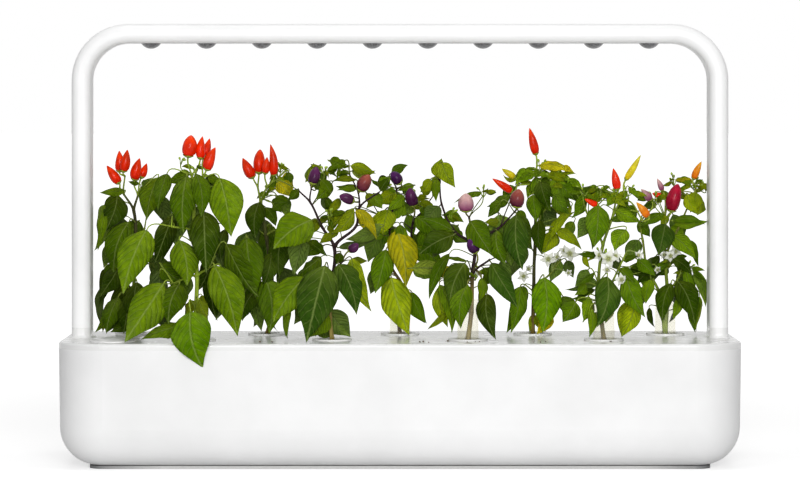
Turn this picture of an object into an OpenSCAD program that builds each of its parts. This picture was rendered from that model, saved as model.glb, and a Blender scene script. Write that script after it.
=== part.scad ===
/* [Water tank] */
// Length of the tank over its ends at the rim
tank_length = 620; // [600:5:700]
// Depth of the tank from front to back at the rim
tank_depth = 185; // [180:5:210]
// Height of the tank's rim above the table
tank_height = 109; // [100:1:140]
// Wall of the tank
tank_wall = 2.6; // [2:0.1:3.4]
// Radius of the tank's upright corners at the rim
corner_radius = 43; // [40:1:48]
// Radius of the roll from the sides into the bottom
bottom_roll = 35; // [24:1:36]
// How much further out each side stands at the rim than at the roll
tank_draft = 1; // [0.5:0.5:2]

/* [Foot plate] */
// Height of the foot plate
foot_height = 2.7; // [2:0.1:5]
// Distance of the foot plate's edge from the tank's side
foot_inset = 28; // [26:1:34]

/* [Lid] */
// Height of the lid's rim above the tank
lid_height = 6; // [5:0.5:8]
// Thickness of the lid's top
lid_plate = 2.6; // [2:0.1:3.5]
// Rounding of the lid's top edge
lid_edge = 2.5; // [1:0.5:3.5]
// Width of the lid's rim, which lies on the tank
lid_rim = 6; // [5:0.5:8]
// Depth of the lip that drops into the tank
lip_depth = 5; // [3:0.5:8]
// Thickness of that lip
lip_wall = 2; // [1.5:0.1:3]
// Gap between the lip and the tank
lip_gap = 0.25; // [0.2:0.05:0.3]

/* [Pods] */
// Distance of the outer pods' middles from the ends of the tank
pod_end = 62; // [60:1:64]
// Distance of the back row from the back of the tank
back_row = 54.5; // [50:0.5:56]
// Distance of the front row from the front of the tank
front_row = 52.5; // [48:0.5:54]
// Outer diameter of a pod cup under its flange
cup_diameter = 27; // [26:0.5:30]
// Outer diameter of the cup at its foot
cup_foot = 24; // [22:0.5:25]
// Depth of the cup below the lid's top
cup_depth = 46; // [40:1:52]
// Wall of the cup
cup_wall = 1.4; // [1:0.1:2]
// Diameter of the cup's flange
flange_diameter = 36; // [34:1:42]
// Height of the cup's flange above the lid
flange_height = 1.4; // [1:0.1:2]
// Gap all round between a cup and its hole
cup_gap = 0.25; // [0.2:0.05:0.3]
// Depth of the guide ring under each pod hole
guide_depth = 9; // [6:1:14]
// Number of root slots round a cup
slot_count = 6; // [4:1:8]
// Width of a root slot
slot_width = 4; // [3:0.5:5]
// Gap all round the soil plug
soil_gap = 0.2; // [0.1:0.05:0.3]
// Depth of the soil below the flange's top
soil_drop = 1; // [0.5:0.5:2]

/* [Stem sleeves] */
// Outer diameter of a stem sleeve
sleeve_diameter = 20; // [18:0.5:21]
// Height of a stem sleeve above the soil
sleeve_height = 37; // [30:1:40]
// Wall of a stem sleeve
sleeve_wall = 0.8; // [0.6:0.1:1.2]

/* [Fill port and float] */
// Distance of the fill port from the end of the tank
port_from_end = 49; // [47:1:52]
// Distance of the fill port from the front of the tank
port_from_front = 36; // [34:1:40]
// Diameter of the fill port
port_diameter = 34; // [32:1:36]
// Diameter of the float's cap over the port
float_cap_diameter = 41; // [40:1:43]
// Height of the float's cap above the lid
float_cap_height = 4; // [3:0.5:5]
// Diameter of the float's stem
float_stem_diameter = 7; // [6:0.5:9]
// Diameter of the float
float_diameter = 30; // [26:1:31]
// Height of the float
float_height = 22; // [16:1:26]
// Length of the float's stem below the lid's top
float_stem_length = 52; // [46:1:60]

/* [Lamp] */
// Height of the lamp's top above the table
lamp_height = 404; // [395:1:460]
// Distance of an arm's middle from the end of the tank
arm_inset = 16.7; // [16:0.1:19]
// Thickness of the arms and of the bar
arch_thickness = 17.6; // [16:0.2:19]
// Depth of the arms and of the bar from front to back
arch_depth = 40; // [36:1:44]
// Rounding of the long edges of the arms and of the bar
arch_edge = 7; // [5:0.5:8]
// Outer radius of the bend between an arm and the bar
arch_bend = 52; // [45:1:60]
// Wall of the lamp's shell
shell_wall = 1.8; // [1.4:0.1:2.2]
// Gap between the cover and the shell, and round each lens
cover_gap = 0.15; // [0.1:0.05:0.25]
// Width of the cover under the bar
cover_width = 23.6; // [22:0.2:24.5]
// Number of lens domes
dome_count = 10; // [8:2:10]
// Distance of the outer domes' middles from the ends of the cover
dome_end = 19.15; // [15:0.05:22]
// Diameter of a dome
dome_diameter = 18.5; // [17:0.5:19]
// How far a dome stands out below the bar
dome_drop = 5; // [4:0.5:7]
// Wall of a dome
dome_wall = 1.2; // [1:0.1:1.6]
// Width of the rim that holds a dome behind the cover
dome_rim = 1.4; // [1:0.1:1.8]
// Thickness of the circuit boards
board_thickness = 1.6; // [1:0.2:2]
// Width of the circuit board above the domes
board_width = 21; // [19:0.5:23]
// Thickness of the heat sink's base
sink_base = 2; // [1.5:0.5:2.5]
// Height of the heat sink's fins
sink_fin = 4.5; // [3:0.5:5.5]
// Number of fins across the heat sink
fin_count = 5; // [3:2:7]

/* [Arm sockets] */
// Height of a collar above the lid
collar_height = 10; // [8:1:14]
// Radius of the flare at a collar's foot
collar_flare = 4; // [2:0.5:4.5]
// Depth of the sockets below the lid's top
socket_depth = 14; // [10:1:18]
// Wall of a socket
socket_wall = 1.8; // [1.4:0.1:2.2]
// Gap all round between a plug and its socket
plug_gap = 0.2; // [0.1:0.05:0.3]
// Length of a plug inside its arm
plug_in_arm = 28; // [20:1:36]

/* [Power] */
// Diameter of the power inlet
inlet_diameter = 8; // [7:0.5:9]
// Length of the power inlet
inlet_length = 12; // [10:1:14]
// Bore of the power inlet
inlet_bore = 5.5; // [5:0.1:6]
// Diameter of the inlet's pin
inlet_pin = 2; // [1.5:0.1:2.5]
// Height of the inlet above the lid's top
inlet_height = 52; // [48:1:70]
// Diameter of the lamp's cable
cable_diameter = 4; // [3:0.5:5]
// Length of the timer board
timer_length = 84; // [60:2:120]

/* [Hidden] */
$fn = 64;
// Overlap that lets a cutting shape run past the surface it cuts
over = 1;

lid_top = tank_height + lid_height;
span_x = tank_length - 2 * corner_radius;
span_y = tank_depth - 2 * corner_radius;
wall_radius = corner_radius - tank_draft;
lip_radius = corner_radius - tank_wall - lip_gap;

cup_top = lid_top + flange_height;
cup_bottom = lid_top - cup_depth;
cup_bore = cup_diameter - 2 * cup_wall;
foot_bore = cup_foot - 2 * cup_wall;
pod_hole = cup_diameter + 2 * cup_gap;
back_pods = 5;
pod_pitch = (tank_length - 2 * pod_end) / (back_pods - 1);
soil_top = cup_top - soil_drop;
soil_foot = cup_bottom + cup_wall;

port_x = port_from_end - tank_length / 2;
port_y = port_from_front - tank_depth / 2;
guide_bore = float_stem_diameter + 0.4;
guide_height = 4;
guide_spoke = 3;
guide_rim = 3;
cap_edge = 1;
float_seat = 6;

arm_x = tank_length / 2 - arm_inset;
bend_middle = arch_bend - arch_thickness / 2;
bend_x = arm_x - bend_middle;
bend_z = lamp_height - arch_bend;
bar_z = lamp_height - arch_thickness / 2;
bar_under = lamp_height - arch_thickness;
arm_foot = lid_top + collar_height;
inner_thickness = arch_thickness - 2 * shell_wall;
inner_depth = arch_depth - 2 * shell_wall;
inner_edge = arch_edge - shell_wall;
cover_end_gap = 2;
board_end_gap = 8;
sink_end_gap = 24;
cover_length = 2 * bend_x - cover_end_gap;
dome_pitch = (cover_length - 2 * dome_end) / (dome_count - 1);
cover_top = bar_under + shell_wall;
rim_top = cover_top + dome_rim;
board_top = rim_top + board_thickness;
sink_top = board_top + sink_base;
board_length = cover_length - board_end_gap;
sink_length = board_length - sink_end_gap;
dome_curve = (pow(dome_diameter / 2, 2) + pow(dome_drop, 2)) / (2 * dome_drop);
chip_size = 5;
chip_height = 1.2;
boss_diameter = 7;
screw_diameter = 3;
screw_head = 5.4;
screw_head_height = 1.4;
screw_depth = 4.6;
screw_slack = 0.4;
thread_gap = 0.1;
fin_thickness = 1.2;
dome_lip = 1.2;
screw_span = 2 * dome_pitch;

plug_thickness = inner_thickness - 2 * plug_gap;
plug_depth = inner_depth - 2 * plug_gap;
plug_edge = inner_edge - plug_gap;
plug_foot = lid_top - socket_depth + plug_gap;
socket_floor = 1.6;
inlet_z = lid_top + inlet_height;
inlet_y = arch_depth / 2 - inlet_length;
inlet_floor = 3;
timer_width = inner_depth / 2 + inlet_y - 1;
timer_foot = inlet_z - inlet_diameter / 2 - 3;
connector = [8, 10, 6];

function pod_x(n) = (n - 5) * pod_pitch / 2;
function pod_y(n) = n % 2 == 1 ? tank_depth / 2 - back_row : front_row - tank_depth / 2;

// A profile whose X is the distance out from the corner's centre is swept
// round a rounded rectangle; the middle is filled from one height to another.
module swept_block(length, depth, middle_foot, middle_top) {
    for (side = [0, 1])
        mirror([side, 0, 0]) {
            translate([length / 2, depth / 2, 0])
                rotate_extrude(angle = 90)
                    children();
            translate([length / 2, -depth / 2, 0])
                rotate([0, 0, -90])
                    rotate_extrude(angle = 90)
                        children();
            translate([length / 2, depth / 2, 0])
                rotate([90, 0, 0])
                    linear_extrude(depth)
                        children();
        }
    for (side = [0, 1])
        mirror([0, side, 0])
            translate([-length / 2, depth / 2, 0])
                rotate([90, 0, 90])
                    linear_extrude(length)
                        children();
    translate([-length / 2, -depth / 2, middle_foot])
        cube([length, depth, middle_top - middle_foot]);
}

// Rectangle with round corners about its middle
module round_rect(width, depth, radius) {
    square([width - 2 * radius, depth], center = true);
    square([width, depth - 2 * radius], center = true);
    for (x = [-1, 1])
        for (y = [-1, 1])
            translate([x * (width / 2 - radius), y * (depth / 2 - radius)])
                circle(radius);
}

// Half of the tank's section: straight wall, then the roll into the bottom
module tank_half(radius, top_radius, roll, foot, top) {
    polygon([
        [0, foot + roll], [radius, foot + roll], [top_radius, top], [0, top]
    ]);
    square_foot = radius - roll;
    translate([0, foot])
        square([square_foot, roll]);
    intersection() {
        translate([square_foot, foot + roll])
            circle(roll);
        translate([square_foot, foot])
            square([roll, roll]);
    }
}

module water_tank() {
    color("white")
        difference() {
            swept_block(span_x, span_y, foot_height, tank_height)
                tank_half(wall_radius, corner_radius, bottom_roll, foot_height, tank_height);
            swept_block(span_x, span_y, foot_height + tank_wall, tank_height + over)
                tank_half(
                    wall_radius - tank_wall,
                    corner_radius - tank_wall + tank_draft * over / tank_height,
                    bottom_roll - tank_wall,
                    foot_height + tank_wall,
                    tank_height + over
                );
        }
}

module foot_plate() {
    color("dimgray")
        linear_extrude(foot_height)
            round_rect(
                tank_length - 2 * foot_inset,
                tank_depth - 2 * foot_inset,
                corner_radius - tank_draft - foot_inset
            );
}

// Half of the lid's section: the top, the rim and the lip inside the tank
module lid_half() {
    difference() {
        union() {
            translate([0, tank_height])
                square([corner_radius - lid_edge, lid_height]);
            translate([corner_radius - lid_edge, tank_height])
                square([lid_edge, lid_height - lid_edge]);
            intersection() {
                translate([corner_radius - lid_edge, lid_top - lid_edge])
                    circle(lid_edge);
                translate([corner_radius - lid_edge, lid_top - lid_edge])
                    square(lid_edge);
            }
            translate([lip_radius - lip_wall, tank_height - lip_depth])
                square([lip_wall, lip_depth]);
        }
        translate([-over, tank_height - over])
            square([corner_radius - lid_rim + over, lid_height - lid_plate + over]);
    }
}

module tank_lid() {
    color("white")
        difference() {
            union() {
                swept_block(span_x, span_y, lid_top - lid_plate, lid_top)
                    lid_half();
                for (n = [1:9])
                    translate([pod_x(n), pod_y(n), lid_top - guide_depth])
                        cylinder(d = pod_hole + 2 * socket_wall, h = guide_depth);
                translate([port_x, port_y, lid_top - guide_depth])
                    cylinder(d = port_diameter + 2 * socket_wall, h = guide_depth);
                for (side = [-1, 1])
                    translate([side * arm_x, 0, lid_top - socket_depth - socket_floor])
                        linear_extrude(socket_depth + socket_floor)
                            socket_outline(socket_wall);
            }
            for (n = [1:9])
                translate([pod_x(n), pod_y(n), lid_top - guide_depth - over])
                    cylinder(d = pod_hole, h = guide_depth + 2 * over);
            translate([port_x, port_y, lid_top - guide_depth - over])
                cylinder(d = port_diameter, h = guide_depth + 2 * over);
            for (side = [-1, 1])
                translate([side * arm_x, 0, lid_top - socket_depth])
                    linear_extrude(socket_depth + over)
                        socket_outline(0);
        }
}

// Outline of a socket, grown by a wall
module socket_outline(wall) {
    round_rect(
        inner_thickness + 2 * wall,
        inner_depth + 2 * wall,
        inner_edge + wall
    );
}

module collar() {
    color("white")
        difference() {
            swept_block(
                arch_thickness - 2 * arch_edge,
                arch_depth - 2 * arch_edge,
                lid_top,
                arm_foot
            )
                collar_half();
            translate([0, 0, lid_top - over])
                linear_extrude(collar_height + 2 * over)
                    socket_outline(0);
        }
}

// Half of a collar's section, with the flare at its foot
module collar_half() {
    translate([0, lid_top])
        square([arch_edge, collar_height]);
    difference() {
        translate([arch_edge, lid_top])
            square(collar_flare);
        translate([arch_edge + collar_flare, lid_top + collar_flare])
            circle(collar_flare);
    }
}

module collar_left() {
    translate([-arm_x, 0, 0])
        collar();
}

module collar_right() {
    translate([arm_x, 0, 0])
        collar();
}

// Low dome with its stem down into the tank
module float_cap() {
    cap_radius = float_cap_diameter / 2;
    rise = float_cap_height - cap_edge;
    curve = (pow(cap_radius, 2) + pow(rise, 2)) / (2 * rise);
    color("white")
        translate([port_x, port_y, lid_top])
            rotate_extrude() {
                square([cap_radius, cap_edge]);
                intersection() {
                    translate([0, float_cap_height - curve])
                        circle(curve, $fn = 720);
                    translate([0, cap_edge])
                        square([cap_radius, rise]);
                }
                translate([0, -float_stem_length])
                    square([float_stem_diameter / 2, float_stem_length]);
            }
}

// Sealed float pushed onto the foot of the stem
module float_body() {
    color("lightgray")
        translate([port_x, port_y, lid_top - float_stem_length + float_seat - float_height])
            difference() {
                rotate_extrude()
                    round_float();
                translate([0, 0, float_height - float_seat])
                    cylinder(d = float_stem_diameter + thread_gap, h = float_seat + over);
            }
}

// Half of the float's section, with its edges rounded
module round_float() {
    edge = 3;
    radius = float_diameter / 2;
    square([radius - edge, float_height]);
    translate([0, edge])
        square([radius, float_height - 2 * edge]);
    for (z = [edge, float_height - edge])
        translate([radius - edge, z])
            circle(edge);
}

// Ring and spokes that guide the stem under the port
module float_guide() {
    color("gainsboro")
        translate([port_x, port_y, lid_top - guide_depth - guide_height])
            difference() {
                union() {
                    difference() {
                        cylinder(d = port_diameter + 2 * socket_wall, h = guide_height);
                        translate([0, 0, -over])
                            cylinder(d = port_diameter, h = guide_height + 2 * over);
                    }
                    cylinder(d = guide_bore + 2 * guide_rim, h = guide_height);
                    for (turn = [0, 120, 240])
                        rotate([0, 0, turn + 60])
                            translate([guide_bore / 2 + 1, -guide_spoke / 2, 0])
                                cube([
                                    port_diameter / 2 - guide_bore / 2,
                                    guide_spoke,
                                    guide_height
                                ]);
                }
                translate([0, 0, -over])
                    cylinder(d = guide_bore, h = guide_height + 2 * over);
            }
}

// The two arms, the bends and the bar as one swept section
module arch_form(thickness, depth, edge, foot) {
    for (side = [0, 1])
        mirror([side, 0, 0]) {
            translate([arm_x, 0, foot])
                linear_extrude(bend_z - foot)
                    round_rect(thickness, depth, edge);
            translate([bend_x, 0, bend_z])
                rotate([90, 0, 0])
                    rotate_extrude(angle = 90)
                        translate([bend_middle, 0])
                            round_rect(thickness, depth, edge);
        }
    translate([-bend_x, 0, bar_z])
        rotate([0, 90, 0])
            linear_extrude(2 * bend_x)
                round_rect(thickness, depth, edge);
}

module lamp_shell() {
    boss_top = lamp_height - shell_wall / 2;
    color("whitesmoke")
        difference() {
            union() {
                difference() {
                    arch_form(arch_thickness, arch_depth, arch_edge, arm_foot);
                    arch_form(inner_thickness, inner_depth, inner_edge, arm_foot - over);
                    translate([-cover_length / 2, -cover_width / 2, bar_under - over])
                        cube([cover_length, cover_width, shell_wall + 2 * over]);
                    translate([arm_x, arch_depth / 2 - inlet_length, inlet_z])
                        rotate([-90, 0, 0])
                            cylinder(d = inlet_diameter + 2 * cover_gap, h = inlet_length + over);
                }
                for (x = screw_places())
                    translate([x, 0, sink_top])
                        cylinder(d = boss_diameter, h = boss_top - sink_top);
            }
            for (x = screw_places())
                translate([x, 0, sink_top - over])
                    cylinder(d = screw_diameter, h = screw_depth + screw_slack + over);
        }
}

function screw_places() = [for (n = [-1.5:1:1.5]) n * screw_span];

function dome_places() = [for (n = [0:dome_count - 1]) (n - (dome_count - 1) / 2) * dome_pitch];

// Flat strip that closes the bar from below
module lamp_cover() {
    length = cover_length - 2 * cover_gap;
    width = cover_width - 2 * cover_gap;
    color("lightgray")
        translate([0, 0, bar_under])
            difference() {
                translate([-length / 2, -width / 2, 0])
                    cube([length, width, shell_wall]);
                for (x = dome_places())
                    translate([x, 0, -over])
                        cylinder(d = dome_diameter + 2 * cover_gap, h = shell_wall + 2 * over);
            }
}

// One hollow dome with the rim that holds it behind the cover
module lens_dome() {
    radius = dome_diameter / 2;
    inner = dome_curve - dome_wall;
    bore = radius - dome_wall;
    rotate_extrude()
        difference() {
            union() {
                intersection() {
                    translate([0, bar_under + dome_curve - dome_drop])
                        circle(dome_curve);
                    translate([0, bar_under - dome_drop])
                        square([radius, dome_drop]);
                }
                translate([0, bar_under])
                    square([radius, shell_wall]);
                translate([0, cover_top])
                    square([radius + dome_lip, dome_rim]);
            }
            intersection() {
                translate([0, bar_under + dome_curve - dome_drop])
                    circle(inner);
                translate([0, bar_under - dome_drop])
                    square([bore, dome_drop]);
            }
            translate([0, bar_under])
                square([bore, shell_wall + dome_rim + over]);
        }
}

module lens_domes() {
    color("dimgray")
        for (x = dome_places())
            translate([x, 0, 0])
                lens_dome();
}

module led_board() {
    color("white")
        difference() {
            union() {
                translate([-board_length / 2, -board_width / 2, rim_top])
                    cube([board_length, board_width, board_thickness]);
                translate([board_length / 2 - connector.x, -connector.y / 2, board_top])
                    cube(connector);
            }
            for (x = screw_places())
                translate([x, 0, rim_top - over])
                    cylinder(d = screw_diameter, h = board_thickness + 2 * over);
        }
}

module led_chips() {
    color("gold")
        for (x = dome_places())
            translate([x - chip_size / 2, -chip_size / 2, rim_top - chip_height])
                cube([chip_size, chip_size, chip_height]);
}

// Aluminium bar with fins, cut away round the screw bosses
module heat_sink() {
    fin_step = (board_width - fin_thickness) / (fin_count - 1);
    color("silver")
        difference() {
            union() {
                translate([-sink_length / 2, -board_width / 2, board_top])
                    cube([sink_length, board_width, sink_base]);
                for (n = [0:fin_count - 1])
                    translate([-sink_length / 2, n * fin_step - board_width / 2, sink_top])
                        cube([sink_length, fin_thickness, sink_fin]);
            }
            for (x = screw_places()) {
                translate([x, 0, sink_top])
                    cylinder(d = boss_diameter + 1, h = sink_fin + over);
                translate([x, 0, board_top - over])
                    cylinder(d = screw_diameter, h = sink_base + 2 * over);
            }
        }
}

module board_screws() {
    color("gray")
        for (x = screw_places())
            translate([x, 0, rim_top]) {
                translate([0, 0, -screw_head_height])
                    cylinder(d = screw_head, h = screw_head_height);
                cylinder(
                    d = screw_diameter - thread_gap,
                    h = board_thickness + sink_base + screw_depth
                );
            }
}

// Round cable from the timer board up the right arm to the connector
module lamp_cable() {
    foot = timer_foot + timer_length;
    bend = bend_middle;
    connector_end = board_length / 2;
    connector_z = board_top + connector.z / 2;
    drop = bar_z - connector_z;
    color("black") {
        translate([arm_x, 0, foot])
            cylinder(d = cable_diameter, h = bend_z - drop - foot);
        translate([bend_x, 0, bend_z - drop])
            rotate([90, 0, 0])
                rotate_extrude(angle = 90)
                    translate([bend, 0])
                        circle(d = cable_diameter);
        translate([connector_end, 0, connector_z])
            rotate([0, 90, 0])
                cylinder(d = cable_diameter, h = bend_x - connector_end);
    }
}

module timer_board() {
    color("green")
        translate([arm_x - board_thickness / 2, inlet_y - timer_width, timer_foot])
            cube([board_thickness, timer_width, timer_length]);
}

module power_inlet() {
    radius = inlet_diameter / 2;
    color("black")
        translate([arm_x, arch_depth / 2, inlet_z])
            rotate([90, 0, 0])
                difference() {
                    cylinder(r = radius, h = inlet_length);
                    difference() {
                        translate([0, 0, -over])
                            cylinder(d = inlet_bore, h = inlet_length - inlet_floor + over);
                        cylinder(d = inlet_pin, h = inlet_length);
                    }
                }
}

// Plug in the foot of an arm, which drops through the collar into its socket
module arm_plug() {
    color("lightgray")
        translate([0, 0, plug_foot])
            linear_extrude(arm_foot + plug_in_arm - plug_foot)
                difference() {
                    round_rect(plug_thickness, plug_depth, plug_edge);
                    round_rect(
                        plug_thickness - 2 * socket_wall,
                        plug_depth - 2 * socket_wall,
                        plug_edge - socket_wall
                    );
                }
}

module arm_plug_left() {
    translate([-arm_x, 0, 0])
        arm_plug();
}

module arm_plug_right() {
    translate([arm_x, 0, 0])
        arm_plug();
}

// Tapered cup with a flange, a drain hole and root slots
module pod_cup(n) {
    color("white")
        translate([pod_x(n), pod_y(n), 0])
            difference() {
                union() {
                    translate([0, 0, cup_bottom])
                        cylinder(
                            d1 = cup_foot,
                            d2 = cup_diameter,
                            h = cup_depth - guide_depth
                        );
                    translate([0, 0, lid_top - guide_depth])
                        cylinder(d = cup_diameter, h = guide_depth);
                    translate([0, 0, lid_top])
                        cylinder(d = flange_diameter, h = flange_height);
                }
                translate([0, 0, soil_foot])
                    cylinder(d1 = foot_bore, d2 = cup_bore, h = cup_depth - guide_depth - cup_wall);
                translate([0, 0, lid_top - guide_depth])
                    cylinder(d = cup_bore, h = guide_depth + flange_height + over);
                translate([0, 0, cup_bottom - over])
                    cylinder(d = foot_bore / 3, h = cup_wall + 2 * over);
                for (slot = [0:slot_count - 1])
                    rotate([0, 0, slot * 360 / slot_count])
                        translate([foot_bore / 4, -slot_width / 2, soil_foot + 3])
                            cube([cup_foot, slot_width, cup_depth / 2]);
            }
}

// Plug of growing soil that fills the cup
module soil_plug(n) {
    color("saddlebrown")
        translate([pod_x(n), pod_y(n), 0]) {
            translate([0, 0, soil_foot])
                cylinder(
                    d1 = foot_bore - 2 * soil_gap,
                    d2 = cup_bore - 2 * soil_gap,
                    h = cup_depth - guide_depth - cup_wall
                );
            translate([0, 0, lid_top - guide_depth])
                cylinder(d = cup_bore - 2 * soil_gap, h = soil_top - lid_top + guide_depth);
        }
}

// Clear sleeve that stands on the soil round the stem
module stem_sleeve(n) {
    color("honeydew", 0.6)
        translate([pod_x(n), pod_y(n), soil_top])
            difference() {
                cylinder(d = sleeve_diameter, h = sleeve_height);
                translate([0, 0, -over])
                    cylinder(d = sleeve_diameter - 2 * sleeve_wall, h = sleeve_height + 2 * over);
            }
}

// Each plant is three tables, measured from the middle of its pod at the
// lid's top.
// Branches: number of the branch that it starts from (0 is the root), then
// where it ends (X, Y, Z) and its radius there.
// Leaves: branch that carries it, where the blade starts (X, Y, Z), where its
// tip is (X, Y, Z), its width, its turn about its midrib, its tone.
// Peppers: branch that carries it, base (X, Y, Z), tip (X, Y, Z), diameter,
// its shape (0 pointed, 1 plump), its colour.
BRANCHES = [
    [   // 1
        [0, -1, 0, 30, 2.3], [1, 0, -2, 70, 2.1], [2, -1, 0, 116, 1.8],
        [3, -10, -2, 131, 1.2], [3, 3, 0, 130, 1.2], [4, -14, 0, 137, 0.9],
        [4, -9, -3, 148, 0.9], [1, -9, -8, 52, 1.1], [2, 10, -10, 100, 1.1]
    ],
    [   // 2
        [0, 0, 0, 28, 2.5], [1, 1, -2, 58, 2.4], [2, -2, 0, 98, 2.1],
        [3, -2, 0, 136, 1.8], [4, -4, 0, 150, 1.5], [4, 6, -2, 148, 1.2],
        [2, -20, -10, 52, 1.1], [3, -22, -8, 104, 1.1], [2, 12, -8, 66, 1.1]
    ],
    [   // 3
        [0, 5, 0, 22, 2.4], [1, 4, -1, 52, 2.3], [2, -1, 0, 92, 2.1],
        [3, -6, 0, 122, 1.8], [4, -9, -1, 138, 1.1], [4, 0, -1, 138, 1.1],
        [3, 14, -4, 100, 1.1], [6, 10, 0, 146, 0.8], [2, -8, -10, 66, 1.1]
    ],
    [   // 4
        [0, -2, 0, 20, 2.3], [1, -1, 0, 46, 2.1], [2, 2, 0, 85, 1.9],
        [3, -9, 0, 103, 1.5], [4, -20, -2, 126, 1.2], [5, -30, -3, 136, 0.9],
        [3, 22, 0, 104, 1.5], [7, 25, -2, 121, 1.3], [8, 43, -3, 135, 0.9],
        [8, 24, 0, 134, 0.9], [5, -19, 2, 139, 0.8], [2, 8, -6, 70, 1.2],
        [10, 16, 2, 151, 0.8]
    ],
    [   // 5
        [0, -2, 0, 24, 2.0], [1, 3, 0, 43, 1.7], [2, -8, 0, 64, 1.4],
        [3, -10, 0, 96, 1.2], [4, -20, 2, 112, 0.9], [2, 11, 0, 62, 1.3],
        [6, 12, -1, 104, 1.1], [4, -3, 0, 136, 1.0], [7, 24, 2, 118, 0.9]
    ],
    [   // 6
        [0, 3, 0, 25, 2.5], [1, 4, 0, 60, 2.2], [2, 5, 0, 86, 1.9],
        [3, -12, -1, 99, 1.4], [4, -24, -2, 124, 1.1], [5, -26, -2, 147, 0.9],
        [3, 1, -2, 112, 1.1], [2, 20, -6, 74, 1.1], [3, 30, -4, 104, 1.2],
        [9, 44, -4, 119, 0.9]
    ],
    [   // 7
        [0, 1, 0, 40, 2.2], [1, 2, 0, 76, 1.9], [2, 8, 1, 112, 1.4],
        [2, 3, 0, 138, 1.3], [4, 4, 0, 160, 1.0], [4, -14, -3, 140, 0.9],
        [3, 22, 4, 126, 1.0], [1, 18, 2, 58, 1.1]
    ],
    [   // 8
        [0, -3, 0, 25, 2.3], [1, -5, 0, 52, 2.0], [2, -1, 0, 86, 1.7],
        [3, 7, -1, 110, 1.3], [4, 12, -2, 133, 1.0], [4, 19, -2, 128, 1.0],
        [1, 8, -3, 54, 1.2], [3, -14, 2, 112, 1.0], [7, 20, -6, 80, 1.0],
        [6, 36, -2, 108, 0.9]
    ],
    [   // 9
        [0, 2, 0, 35, 2.3], [1, 0, 0, 70, 2.0], [2, 0, 0, 108, 1.5],
        [2, 14, -4, 104, 1.2], [4, 28, -6, 136, 0.9], [0, -6, 0, 40, 1.8],
        [6, -17, 0, 62, 1.5], [7, -21, 0, 88, 1.3], [8, -24, 2, 104, 1.0],
        [1, 12, -8, 54, 1.1]
    ]
];

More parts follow.
